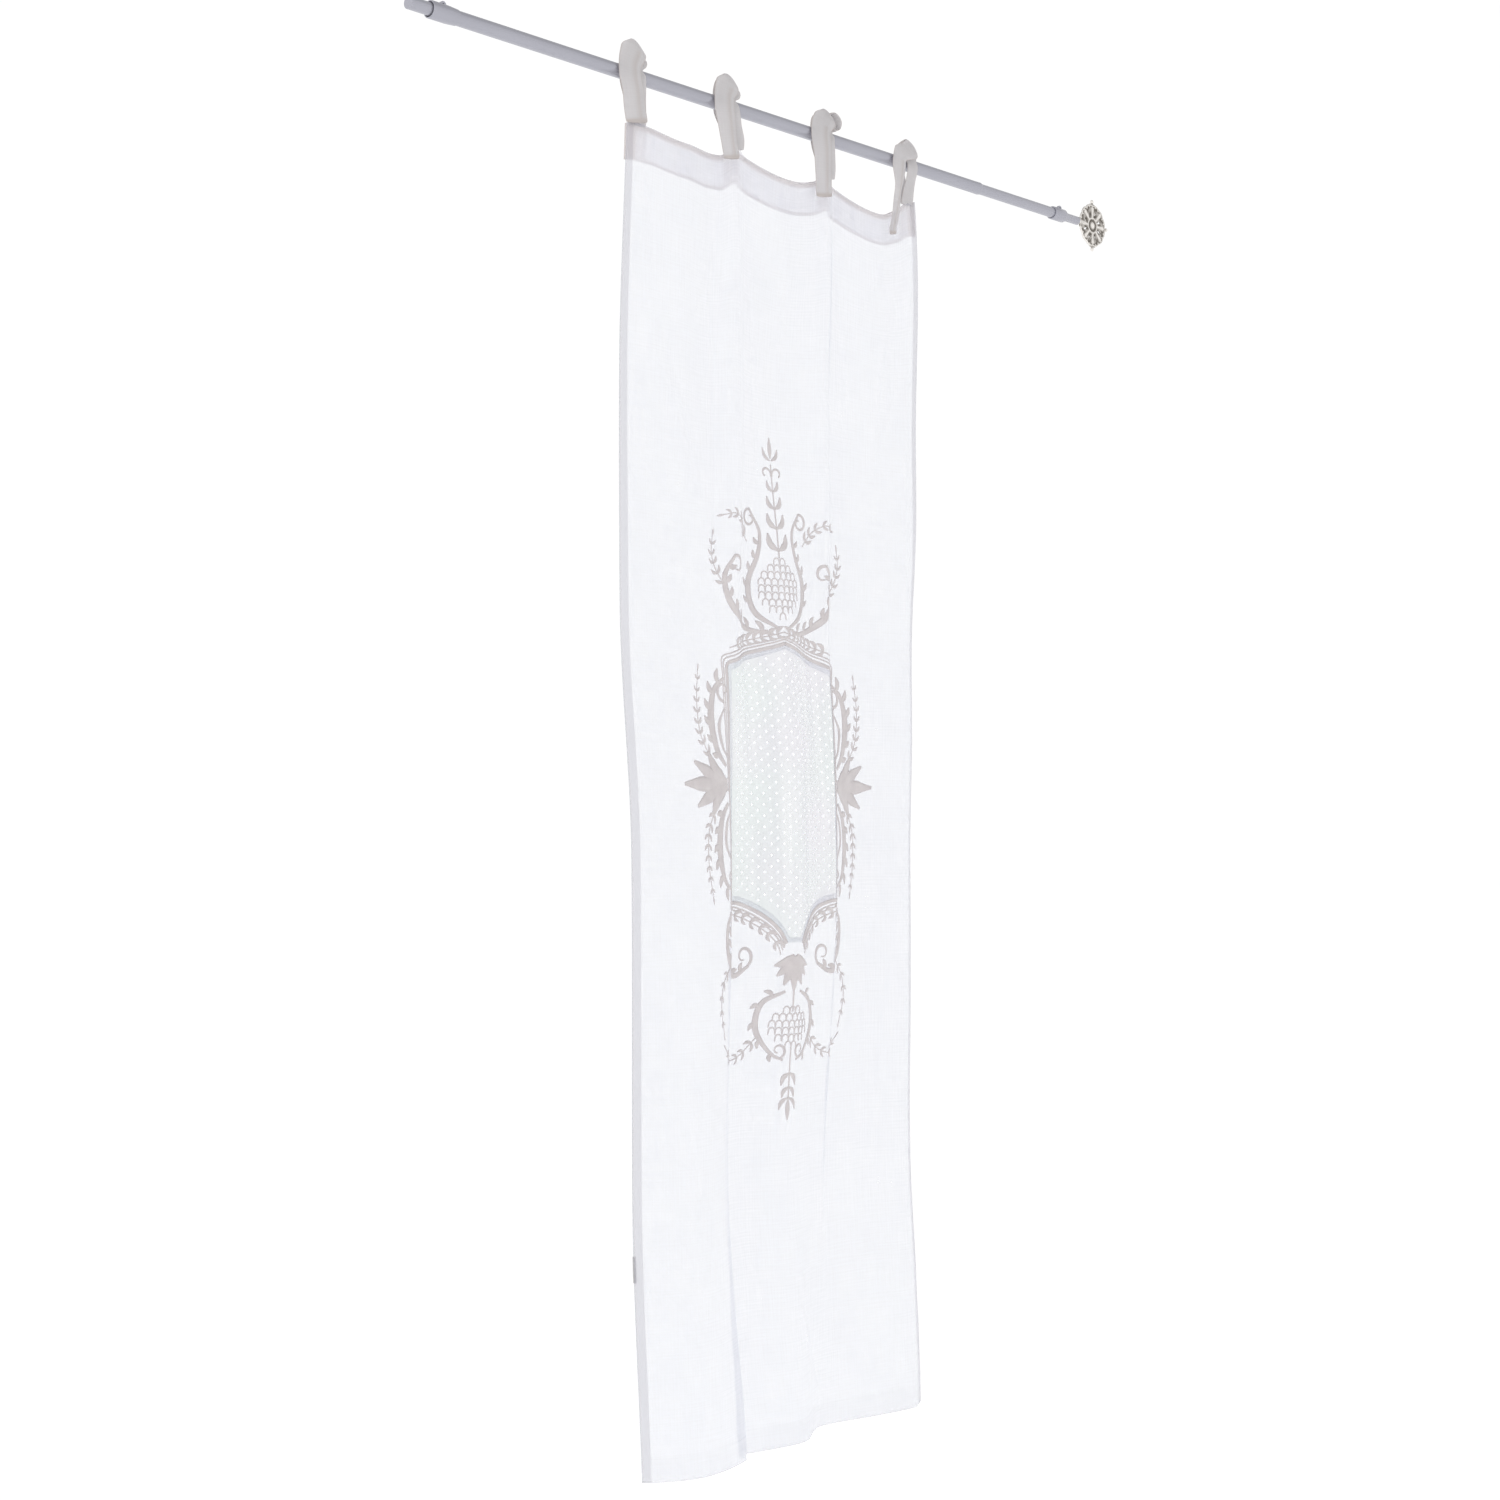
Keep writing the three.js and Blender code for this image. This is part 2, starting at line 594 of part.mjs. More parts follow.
// The pierced disc with its tips, its boss, and the stub that enters the socket's neck
function finialMedallion() {
  const m = MEDALLION;
  const outline = medallionOutline();
  for (let i = 0; i < m.piercings; i += 1)
    outline.holes.push(petalHole(((i + 0.5) * 2 * Math.PI) / m.piercings));
  const options = { depth: m.thick, bevelEnabled: false, curveSegments: 4 };
  const plate = new THREE.ExtrudeGeometry(outline, options)
    .rotateX(Math.PI / 2)
    .translate(m.x, m.thick / 2, 0);
  const face = m.thick / 2;
  const dome = [
    { radius: 0, height: 0 },
    { radius: m.boss, height: 0 },
    { radius: m.boss, height: face + 1 },
    { radius: 0.7 * m.boss, height: face + m.bossHeight - 1 },
    { radius: 0, height: face + m.bossHeight },
  ];
  const boss = new THREE.LatheGeometry(dome.map((d) => new THREE.Vector2(d.radius, d.height)), 20)
    .rotateX(Math.PI)
    .translate(m.x, 0, 0);
  const stubStart = NECK_END - STUB_DEPTH + 1;
  const stubEnd = m.x - m.disc + 3;
  const stub = turned([[0, stubStart], [STUB_R, stubStart], [STUB_R, stubEnd], [0, stubEnd]]);
  return toGeometry(toSolid(plate).add(toSolid(boss)).add(toSolid(stub)));
}

const curtain = new THREE.Group();
const rod = new THREE.Group();
function piece(group, name, geometry, material) {
  const mesh = new THREE.Mesh(geometry, material);
  mesh.name = name;
  group.add(mesh);
}

piece(curtain, "linen_panel", linenPanel(), linen);
piece(curtain, "heading_facing", headingFacing(), facing);
piece(curtain, "net_inset", netInset(), netCloth);
piece(curtain, "care_label", careLabel(), labelCloth);
for (const tie of TIES) {
  piece(curtain, `tie_${tie.tie}_knot_strip`, knotStrip(tie), tieLinen);
  piece(curtain, `tie_${tie.tie}_tail_strip`, tailStrip(tie), tieLinen);
}
piece(rod, "rod_outer_tube", tube(TUBE_R, OUTER_START, OUTER_END), paint);
piece(rod, "rod_left_tube", leftTube(), paint);
const rightEnd = SOCKET_START + SOCKET_BORE - GAP;
piece(rod, "rod_right_tube", tube(THIN_R, RIGHT_INNER_START, rightEnd), paint);
piece(rod, "rod_left_collar", leftCollar(), paint);
piece(rod, "finial_socket", finialSocket(), paint);
piece(rod, "finial_medallion", finialMedallion(), silver);

const part = new THREE.Group();
part.add(curtain, rod);
export default part;
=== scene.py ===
# Tie-top linen curtain with an embroidered net window, on a telescopic rod.
# Each piece of cloth is cut flat in millimetres (across, down, behind), then hung on the folds.
from functools import partial
from math import atan2, ceil, copysign, cos, degrees, exp, hypot, pi, radians, sin

import bmesh
import bpy
import numpy as np
from mathutils import Matrix, Vector


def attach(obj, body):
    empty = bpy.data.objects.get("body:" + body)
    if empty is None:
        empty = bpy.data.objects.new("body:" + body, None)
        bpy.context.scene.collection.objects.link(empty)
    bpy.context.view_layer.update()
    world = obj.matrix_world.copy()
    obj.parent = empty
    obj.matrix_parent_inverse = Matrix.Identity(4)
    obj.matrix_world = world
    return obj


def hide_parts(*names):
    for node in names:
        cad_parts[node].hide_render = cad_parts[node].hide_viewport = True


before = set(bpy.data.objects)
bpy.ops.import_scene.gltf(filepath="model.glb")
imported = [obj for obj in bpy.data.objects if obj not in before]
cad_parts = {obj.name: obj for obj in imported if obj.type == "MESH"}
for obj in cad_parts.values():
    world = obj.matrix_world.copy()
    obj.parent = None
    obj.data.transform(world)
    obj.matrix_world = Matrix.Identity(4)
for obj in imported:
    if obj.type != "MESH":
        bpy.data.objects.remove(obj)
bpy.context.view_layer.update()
mm = 0.001

# Camera
view = {
    "place": (-3.13175, -2.92680, -1.33939), "yaw": 43.79014, "pitch": 1.98446, "lens": 54.72, "sensor": 36.0,
}


def addObject(name, data):
    made = bpy.data.objects.new(name, data)
    bpy.context.collection.objects.link(made)
    return made


def makeCamera():
    yaw, pitch = radians(view["yaw"]), radians(view["pitch"])
    ahead = Vector((cos(pitch) * cos(yaw), cos(pitch) * sin(yaw), sin(pitch)))
    data = bpy.data.cameras.new("camera")
    data.lens, data.sensor_width = view["lens"], view["sensor"]
    camera = addObject("camera", data)
    camera.location = view["place"]
    camera.rotation_euler = ahead.to_track_quat("-Z", "Y").to_euler()
    bpy.context.scene.camera = camera


makeCamera()


def linear(code):
    channels = [int(code[i : i + 2], 16) / 255 for i in (1, 3, 5)]
    return tuple(c / 12.92 if c <= 0.04045 else ((c + 0.055) / 1.055) ** 2.4 for c in channels) + (1.0,)


def addNode(tree, kind, settings=None, **inputs):
    # an input is a value, an output socket, or a node whose first output is meant; in_2 is input number 2
    node = tree.nodes.new("ShaderNode" + kind)
    for key, value in (settings or {}).items():
        setattr(node, key, value)
    for key, value in inputs.items():
        socket = node.inputs[int(key[3:])] if key.startswith("in_") else node.inputs[key.replace("_", " ")]
        if isinstance(value, bpy.types.Node):
            value = value.outputs[0]
        if isinstance(value, bpy.types.NodeSocket):
            tree.links.new(value, socket)
        else:
            socket.default_value = value
    return node


rgba = {"data_type": "RGBA"}


def newMaterial(name):
    material = bpy.data.materials.new(name)
    material.use_nodes = True
    material.node_tree.nodes.clear()
    return material, partial(addNode, material.node_tree)


# The hanging cloth
cloth = {
    "width": 850, "drop": 2395, "top": -90, "sideHem": 17, "bottomHem": 40, "heading": 66, "bottomTone": 0.15,
    "thickness": 0.5, "hemThickness": 1.6, "sagDepth": 800, "sagShare": 0.62, "facingBehind": 2.0,
    "netBehind": 1.1,
}
# heights down the cloth at which the folds are given, where the left edge is, and the drift there
levels = np.array([(0, -405, 0), (450, -420, 1), (850, -416, 0.6), (1300, -385, 0), (1900, -378, 0),
                   (2395, -348, 0)], float)
# across, drift, sag of the top edge, then the depth at each height
folds = np.array([
    (0, 0, -2, -12, -10, -8, -6, -2, 4),
    (25, 0, 3, -12, -13, -14, -14, -15, -14),
    (130, 0, -13, -26, -22, -5, -21, -58, -52),
    (256, -22, -4, 3, 6, 0, -3, -10, -26),
    (292, 8, 16, -12, -16, -7, 17, 15, 4),
    (328, 34, 5, -1, 11, 14, 14, 23, -5),
    (430, 12, -21, -20, 17, -18, -37, -21, -22),
    (524, 0, -2, -2, -3, 2, -9, 1, 20),
    (558, 6, 14, -12, -13, -10, -16, 5, 33),
    (594, -4, 1, 4, 0, 5, 3, 24, 29),
    (700, 0, -36, -24, -13, 0, 30, 18, 6),
    (797, 0, -7, 0, -10, -20, -15, -15, -7),
    (825, 0, 11, -10, -8, -6, -1, -1, 5),
    (850, 0, 16, -8, -3, 6, 12, 12, 17),
], float)
# soft creases: path of (across, down), half width, depth away from the room
creases = [
    ([(260, 30), (250, 160), (240, 280), (250, 460), (245, 650), (245, 900)], 6, 3.0),
    ([(335, 30), (355, 220), (380, 420), (385, 550), (375, 750)], 6, 3.0),
    ([(285, 900), (268, 1360), (300, 1750), (310, 2000)], 7, 2.6),
    ([(595, 50), (605, 220), (625, 410), (615, 730)], 6, 3.0),
    ([(590, 960), (560, 1300), (545, 1480), (600, 1880), (545, 1960)], 7, 2.6),
    ([(50, 300), (75, 390), (120, 480), (175, 600), (215, 690)], 18, -3.8),
    ([(95, 330), (125, 430), (180, 540), (226, 620)], 12, 2.6),
    ([(745, 70), (685, 170), (640, 260)], 12, -3.4),
    ([(762, 150), (725, 350), (700, 600)], 15, -3.8),
    ([(800, 90), (772, 260), (748, 500)], 10, 2.2),
    ([(305, 1960), (335, 2080), (350, 2180)], 13, -3.0),
    ([(340, 2160), (320, 2230), (270, 2395)], 14, 3.6),
    ([(452, 2090), (515, 2230), (577, 2370)], 13, 3.6),
    ([(420, 1960), (470, 2120), (505, 2300)], 16, -2.4),
    ([(40, 50), (62, 170), (70, 300)], 9, 2.0),
    ([(296, 60), (300, 240), (310, 420)], 12, -2.6),
    ([(560, 60), (566, 230), (560, 420)], 12, -2.6),
    ([(440, 60), (455, 200), (470, 380)], 20, -2.4),
    ([(160, 900), (190, 1150), (176, 1400)], 20, -2.2),
    ([(760, 900), (742, 1200), (764, 1500)], 18, -2.4),
    ([(90, 1500), (120, 1750), (104, 2050)], 22, -2.2),
    ([(700, 1650), (668, 1900), (690, 2200)], 20, -2.6),
    ([(400, 1500), (392, 1700), (410, 1950)], 14, 2.0),
]


def through(xs, ys, q):
    # a smooth curve through the rows that never overshoots them
    xs, ys, q = np.asarray(xs, float), np.asarray(ys, float), np.asarray(q, float)
    step = np.diff(xs)
    rise = np.diff(ys) / step
    slope = np.zeros(len(xs))
    for i in range(1, len(xs) - 1):
        if rise[i - 1] * rise[i] > 0:
            before, after = 2 * step[i] + step[i - 1], step[i] + 2 * step[i - 1]
            slope[i] = (before + after) / (before / rise[i - 1] + after / rise[i])
    slope[0], slope[-1] = rise[0], rise[-1]
    i = np.clip(np.searchsorted(xs, q, side="right") - 1, 0, len(xs) - 2)
    t = (q - xs[i]) / step[i]
    return (
        (2 * t**3 - 3 * t**2 + 1) * ys[i]
        + (t**3 - 2 * t**2 + t) * step[i] * slope[i]
        + (3 * t**2 - 2 * t**3) * ys[i + 1]
        + (t**3 - t**2) * step[i] * slope[i + 1]
    )


gridStep = 5.0
gridAcross = np.arange(0, cloth["width"] + 1, gridStep)
gridDown = np.arange(0, cloth["drop"] + 1, gridStep)


def hangingGrid():
    # the cloth keeps its length across, so deep folds draw its edges in
    rows = []
    for down in gridDown:
        drift = through(levels[:, 0], levels[:, 2], down)
        places = folds[:, 0] + folds[:, 1] * drift
        depths = [float(through(levels[:, 0], f[3:], down)) for f in folds]
        depth = through(places, depths, gridAcross)
        sag = through(folds[:, 0], folds[:, 2], gridAcross) * max(0.0, 1 - down / cloth["sagDepth"]) ** 2
        rise = cloth["sagShare"] * np.diff(sag)
        run = np.sqrt(np.maximum(gridStep**2 - np.diff(depth) ** 2 - rise**2, 0))
        left = float(through(levels[:, 0], levels[:, 1], down))
        x = left + np.concatenate([[0], np.cumsum(run)])
        rows.append(np.stack([x, depth, cloth["top"] + sag - down], axis=-1))
    return np.array(rows)


hungAt = hangingGrid()


def onCloth(across, down):
    # where a spot of the flat cloth hangs; past an edge it goes on straight
    a = np.asarray(across, float) / gridStep
    d = np.asarray(down, float) / gridStep
    i = np.clip(np.floor(a).astype(int), 0, len(gridAcross) - 2)
    j = np.clip(np.floor(d).astype(int), 0, len(gridDown) - 2)
    s, t = (a - i)[..., None], (d - j)[..., None]
    upper = hungAt[j, i] * (1 - s) + hungAt[j, i + 1] * s
    lower = hungAt[j + 1, i] * (1 - s) + hungAt[j + 1, i + 1] * s
    return upper * (1 - t) + lower * t


def awayFromRoom(across, down, reach=6.0):
    along = onCloth(across + reach, down) - onCloth(across - reach, down)
    up = onCloth(across, np.maximum(down - reach, 0)) - onCloth(across, np.maximum(down, 0) + reach)
    normal = np.cross(up, along)
    return normal / np.linalg.norm(normal, axis=-1, keepdims=True)


def creaseDepth(across, down):
    total = np.zeros_like(across)
    for path, half, depth in creases:
        downs = [p[1] for p in path]
        q = np.clip(down, downs[0], downs[-1])
        middle = through(downs, [p[0] for p in path], q)
        reach = 0.3 * (downs[-1] - downs[0])
        fade = np.clip(np.minimum(down - downs[0], downs[-1] - down) / reach + 0.02, 0, 1)
        if downs[-1] >= cloth["drop"]:
            fade = np.clip((down - downs[0]) / reach, 0, 1)
        total += depth * fade**2 * (3 - 2 * fade) * np.exp(-(((across - middle) / half) ** 2))
    return total


def hang(flat):
    across, down, behind = flat[:, 0], flat[:, 1], flat[:, 2]
    out = behind + creaseDepth(across, down)
    return (onCloth(across, down) + awayFromRoom(across, down) * out[:, None]) * mm


def hangMesh(bm):
    # keeps the flat place as the UV map, in metres, and moves each vertex to where it hangs
    bm.verts.ensure_lookup_table()
    flat = np.array([v.co[:] for v in bm.verts])
    uv = bm.loops.layers.uv.verify()
    for face in bm.faces:
        for loop in face.loops:
            loop[uv].uv = (loop.vert.co.x * mm, loop.vert.co.y * mm)
    for v, place in zip(bm.verts, hang(flat)):
        v.co = place


def newPiece(name, bm, material, node=None):
    mesh = bpy.data.meshes.new(name)
    bm.to_mesh(mesh)
    bm.free()
    piece = addObject(name, mesh)
    mesh.materials.append(material)
    mesh.shade_smooth()
    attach(piece, "root")
    if node:
        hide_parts(node)
    return piece


def solidify(piece, thickness, offset=1.0, group="", thinnest=0.0):
    wall = piece.modifiers.new("wall", "SOLIDIFY")
    wall.thickness = thickness * mm
    wall.offset = offset
    wall.use_even_offset = False
    wall.vertex_group = group
    wall.thickness_vertex_group = thinnest


def flatSheet(acrosses, downs, behind=0.0):
    bm = bmesh.new()
    columns, rows = len(acrosses) - 1, len(downs) - 1
    bmesh.ops.create_grid(bm, x_segments=columns, y_segments=rows, size=0.5)
    for v in bm.verts:
        v.co = (acrosses[round((v.co.x + 0.5) * columns)], downs[round((v.co.y + 0.5) * rows)], behind)
    return bm


def evenStops(start, end, widest):
    return np.linspace(start, end, max(1, ceil((end - start) / widest)) + 1).tolist()


def joinStops(*parts):
    return sorted({round(s, 3) for part in parts for s in part})


# Cloth materials
# Plain-weave linen, washed: matt, near white, with slubs along both threads, and sheer enough for
# the light behind it to make every further layer a little darker.
def clothMaterial(name, light, dark, hem, slub, bumps, glow, cover, varies, hemCover):
    material, add = newMaterial(name)
    place = add("UVMap")
    slubs = []
    for stretch in ((slub, 12, 1), (12, slub, 1)):
        turned = add("Mapping", Vector=place, Scale=stretch)
        slubs.append(add("TexNoise", Vector=turned, Scale=1.0, Detail=3.0, Roughness=0.6))
    both = add("Math", {"operation": "ADD"}, in_0=slubs[0], in_1=slubs[1])
    # threads of about 0.6 mm, drawn 1.4 mm wide so that they show
    threads = add("Mapping", Vector=place, Scale=(700, 700, 1))
    weave = add("TexChecker", Vector=threads, Scale=1.0).outputs["Fac"]
    tone = add("MapRange", Value=both, From_Min=0.75, From_Max=1.3)
    colour = add("Mix", rgba, Factor=tone, in_6=linear(dark), in_7=linear(light)).outputs[2]
    # more layers of cloth, 0 to 1, are darker and denser; on the ties' tails the same attribute also carries
    # a painted shade line along the fold
    layers = add("Attribute", {"attribute_name": "layers"}).outputs["Fac"]
    tinted = add("Mix", rgba, Factor=layers, in_6=colour, in_7=linear(hem)).outputs[2]
    height = add("Math", {"operation": "MULTIPLY_ADD"}, in_0=weave, in_1=0.25, in_2=both)
    bump = add("Bump", Strength=bumps, Distance=0.0006, Height=height)
    front = add("BsdfPrincipled", Base_Color=tinted, Roughness=0.92, Specular_IOR_Level=0.2,
                Sheen_Weight=0.15, Sheen_Roughness=0.5, Normal=bump)
    lightThrough = add("BsdfTranslucent", Color=tinted, Normal=bump)
    body = add("MixShader", in_0=glow, in_1=front, in_2=lightThrough)
    gaps = add("BsdfTransparent")
    # share of the light that the threads stop, at one surface of the cloth
    stop = add("MapRange", Value=tone, To_Min=cover + varies,
               To_Max=cover - varies)
    cloud = add("TexNoise", Vector=place, Scale=6.0, Detail=2.0)
    cloudy = add("MapRange", Value=cloud, From_Min=0.3, From_Max=0.7, To_Min=-0.02, To_Max=0.02)
    varied = add("Math", {"operation": "ADD"}, in_0=stop, in_1=cloudy)
    share = add("Mix", {"data_type": "FLOAT"}, Factor=layers, in_2=varied, in_3=hemCover)
    mixed = add("MixShader", in_0=share, in_1=gaps, in_2=body)
    add("OutputMaterial", Surface=mixed)
    return material


linen = clothMaterial("plain-weave linen", "#F6F7FC", "#E8EAF2", "#DFDFE5", slub=330, bumps=0.25, glow=0.55,
                      cover=0.315, varies=0.04, hemCover=0.5)
headingLinen = clothMaterial("linen heading, two layers", "#F3F1F5", "#E6E3E9", "#DFD4D0", slub=330,
                             bumps=0.3, glow=0.5, cover=0.3, varies=0.04, hemCover=0.58)
tieLinen = clothMaterial("doubled linen of the ties", "#E9E7E8", "#DEDBDC", "#D5CECB", slub=420, bumps=0.5,
                         glow=0.3, cover=0.93, varies=0.03, hemCover=0.97)


# The window
window = {
    "middle": 425, "half": 142, "apex": 912, "shoulder": 958, "hip": 1372, "foot": 1452, "footHalf": 15,
}


def bezier(p0, p1, p2, p3, count):
    ts = np.linspace(0, 1, count + 1)[1:, None]
    p0, p1, p2, p3 = (np.array(p, float) for p in (p0, p1, p2, p3))
    back = 1 - ts
    return (back**3 * p0 + 3 * back**2 * ts * p1 + 3 * back * ts**2 * p2 + ts**3 * p3).tolist()


def windowHalf(margin, count=16):
    # right half of the outline, from the apex down to the foot, across measured from the middle
    w = window
    side, shoulder, hip = w["half"] + margin, w["shoulder"] - margin, w["hip"] + margin
    foot, footHalf = w["foot"] + margin, w["footHalf"] + margin / 2
    inner, outer = 0.2 * side, 0.55 * side
    points = [[0.0, w["apex"] - margin]]
    points += bezier(points[0], (inner, shoulder - 34), (outer, shoulder - 30), (side, shoulder), count)
    points += [[side, d] for d in np.linspace(shoulder, hip, 2 * count)[1:]]
    points += bezier((side, hip), (outer, hip + 4), (inner, foot - 34), (footHalf, foot), count)
    return points


def windowOutline(margin):
    right = windowHalf(margin)
    left = [[-x, y] for x, y in right[:0:-1]]
    return np.array(right + left) + (window["middle"], 0)


def insideOf(outline, x, y):
    inside = np.zeros(np.shape(x), bool)
    x0, y0 = outline[-1]
    for x1, y1 in outline:
        if y1 != y0:
            crosses = (y1 > y) != (y0 > y)
            inside ^= crosses & (x < (x0 - x1) * (y - y1) / (y0 - y1) + x1)
        x0, y0 = x1, y1
    return inside


def nearestOn(outline, point):
    ends = np.roll(outline, -1, axis=0)
    run = ends - outline
    t = np.clip(((point - outline) * run).sum(1) / np.maximum((run**2).sum(1), 1e-9), 0, 1)
    spots = outline + run * t[:, None]
    return spots[np.argmin(((spots - point) ** 2).sum(1))]


def trimTo(bm, outline, keepInside):
    # cuts the flat sheet along the outline: whole cells go, then the new edge is drawn onto the line
    centres = np.array([f.calc_center_median()[:2] for f in bm.faces])
    inside = insideOf(outline, centres[:, 0], centres[:, 1])
    gone = [f for f, within in zip(bm.faces, inside) if bool(within) != keepInside]
    bmesh.ops.delete(bm, geom=gone, context="FACES")
    # further than this nothing is moved
    reach = 12
    for v in bm.verts:
        if not v.is_boundary:
            continue
        spot = nearestOn(outline, np.array(v.co[:2]))
        if abs(spot[0] - v.co.x) < reach and abs(spot[1] - v.co.y) < reach:
            v.co.x, v.co.y = spot


def markLayers(bm, layersAt):
    layer = bm.verts.layers.float.new("layers")
    for v in bm.verts:
        v[layer] = layersAt(v.co.x, v.co.y)


# The panel
def makePanel():
    w, drop, hem, bottom = cloth["width"], cloth["drop"], cloth["sideHem"], cloth["bottomHem"]
    # the widest cells, and half of the narrow cell in which a hem begins
    wide, high, edge = 6.6, 9.6, 0.5
    acrosses = joinStops(evenStops(0, hem - edge, wide), evenStops(hem + edge, w - hem - edge, wide),
                         evenStops(w - hem + edge, w, wide))
    downs = joinStops(evenStops(0, drop - bottom - edge, high), evenStops(drop - bottom + edge, drop, high))
    bm = flatSheet(acrosses, downs)
    trimTo(bm, windowOutline(0), keepInside=False)

    def layersAt(x, y):
        if x < hem or x > w - hem:
            return 1.0
        return cloth["bottomTone"] if y > drop - bottom else 0.0

    markLayers(bm, layersAt)
    weight = bm.verts.layers.deform.verify()
    for v in bm.verts:
        v[weight][0] = 1.0 if layersAt(v.co.x, v.co.y) else 0.0
    hangMesh(bm)
    panel = newPiece("linenPanelSheet", bm, linen, "linen_panel")
    panel.vertex_groups.new(name="hems")
    thick = cloth["hemThickness"]
    solidify(panel, thick, group="hems", thinnest=cloth["thickness"] / thick)
    return panel


# The heading: how wide its turned-in edges are and how dense they look, and the same for the ties' roots,
# which are sewn in between the layers and push the facing back
headingEdges = {
    "left": 28, "right": 22, "top": 11, "foot": 7, "sideTone": 0.8, "topTone": 0.85, "footTone": 0.5,
    "tieHalf": 24, "tieTone": 0.35, "rootHalf": 30, "rootFade": 6, "rootDepth": 3.8,
}


def makeHeading():
    w, high, h = cloth["width"], cloth["heading"], headingEdges
    left, right = h["left"], w - h["right"]
    acrosses = joinStops(evenStops(0, left - 1, 6), evenStops(left, right, 6.2), evenStops(right + 1, w, 6))
    downs = [0, 2, 4, 10, 12, 20, 28, 36, 44, 52, high - 8, high - 6, high]
    bm = flatSheet(acrosses, downs, cloth["facingBehind"])

    def fromTie(x):
        return min(abs(x - tie["across"]) for tie in ties)

    def layersAt(x, y):
        if y < h["top"]:
            return h["topTone"]
        if x < left or x > right:
            return h["sideTone"]
        if y > high - h["foot"]:
            return h["footTone"]
        return h["tieTone"] if fromTie(x) < h["tieHalf"] else 0.0

    markLayers(bm, layersAt)
    for v in bm.verts:
        v.co.z += h["rootDepth"] * min(1, max(0, (h["rootHalf"] - fromTie(v.co.x)) / h["rootFade"]))
    hangMesh(bm)
    piece = newPiece("headingBand", bm, headingLinen, "heading_facing")
    solidify(piece, cloth["thickness"])
    return piece


# The ties: each one's place, hood, knot and tail, in millimetres and degrees
tieColumns = (
    "across knot peak peakShift hoodWidth nubShift nubWidth waistShift stripWidth "
    "tailTop tailFoot tailEnd tailWidth midWidth footWidth tailOut footOut turn footTurn"
).split()
tieRows = [
    (25, -395, 65, 9, 53, 14, 58, 18, 43, -12, 0, -94, 47, 45, 42, -24, -27, 16, 26),
    (290, -158, 60, 9, 51, 18, 55, 20, 43, -10, 6, -106, 46, 42, 32, -23, -24, 14, 30),
    (558, 110, 56, 12, 50, 18, 62, 19, 43, -12, -9, -126, 49, 43, 34, -23, -26, 14, 30),
    (822, 365, 51, 6, 44, 12, 52, 15, 34, -31, -62, -160, 39, 22, 13, -20, -26, 8, 62),
]
ties = [dict(zip(tieColumns, row)) for row in tieRows]
tieSize = {"around": 24, "along": 5, "hemmedEnd": 8}
# the lengthwise fold in each tail: where it is across the strip (-1 to 1), how far the rest bends back, and
# how dark the painted shade line along the fold is, given as layers of cloth
tailFold = {"starts": 0.5, "ends": 0.58, "at": 0.444, "bend": 9.0, "tone": 0.55}


# A strip's rows: x, y, z, width, thickness, turn, and, where it does not just run on, its heading in (y, z)
def knotRows(tie):
    root = onCloth(np.array(float(tie["across"])), np.array(0.0))
    waist, nub, wide = tie["knot"] + tie["waistShift"], tie["knot"] + tie["nubShift"], tie["nubWidth"]
    return [
        (root[0], root[1] + 1.6, root[2] - 5, tie["stripWidth"] + 1, 1.4, 0),
        (root[0], -13, root[2] + 12, tie["stripWidth"], 1.4, 0),
        ((root[0] + waist) / 2, -14, -38, 0.84 * tie["stripWidth"], 2, 0),
        (waist, -14.4, -4, 32, 2.6, 0),
        (tie["knot"] + 8, -13.9, 9, 36, 2.6, 0, 0.2, 0.98),
        (nub, -12.2, 16, wide - 14, 8, 0, 0.75, 0.66),
        (nub, -8, 24.5, wide, 21, 0, 0.97, 0.24),
        (nub, -1, 25.7, wide, 25, 0, 1, 0),
        (nub, 5, 25.5, wide - 10, 23, 0, 1, 0),
        (nub, 8.5, 25, wide - 26, 12, 0, 1, 0),
    ]


def tailRows(tie):
    root = onCloth(np.array(float(tie["across"])), np.array(0.0))
    k, peak, turn, footTurn = tie["knot"], tie["peak"], tie["turn"], tie["footTurn"]
    behind, ridge, top, foot = k + 10, k + tie["peakShift"], k + tie["tailTop"], k + tie["tailFoot"]
    end, out, wide, narrow = tie["tailEnd"], tie["footOut"], tie["tailWidth"], tie["footWidth"]
    return [
        (root[0], root[1] + 3.6, root[2] - 5, 42, 1.4, 0),
        (root[0], -6, root[2] + 12, 38, 1.4, 0),
        ((root[0] + behind) / 2, 6, -40, 30, 2.6, 0),
        (behind, 15.3, -4, 26, 3.6, 0),
        (behind, 16.5, 18, 26, 4, 0),
        (behind, 13.5, 36, 28, 5, 0),
        (ridge, 5.5, peak - 9, 22, 5, 0),
        (ridge, -4, peak - 1.6, 4, 3, 0),
        (ridge - 1, -12.5, peak - 11, 0.56 * tie["hoodWidth"], 4, 0),
        (k + 1, -19, peak - 27, tie["hoodWidth"], 3, turn),
        (top + 2, -20.5, 10, wide, 2.2, turn),
        (top, tie["tailOut"], -12, wide, 1.5, turn),
        ((2 * top + foot) / 3, out, -12 + (end + 12) / 3, tie["midWidth"], 1.5, turn),
        ((top + 3 * foot) / 4, out, -12 + 0.75 * (end + 12), narrow, 1.5, footTurn),
        (foot, out, end + 8, narrow, 1.5, footTurn),
        (foot + 0.3, out, end + 7, narrow, 2.2, footTurn),
        (foot + 1, out, end, narrow, 2.2, footTurn),
    ]


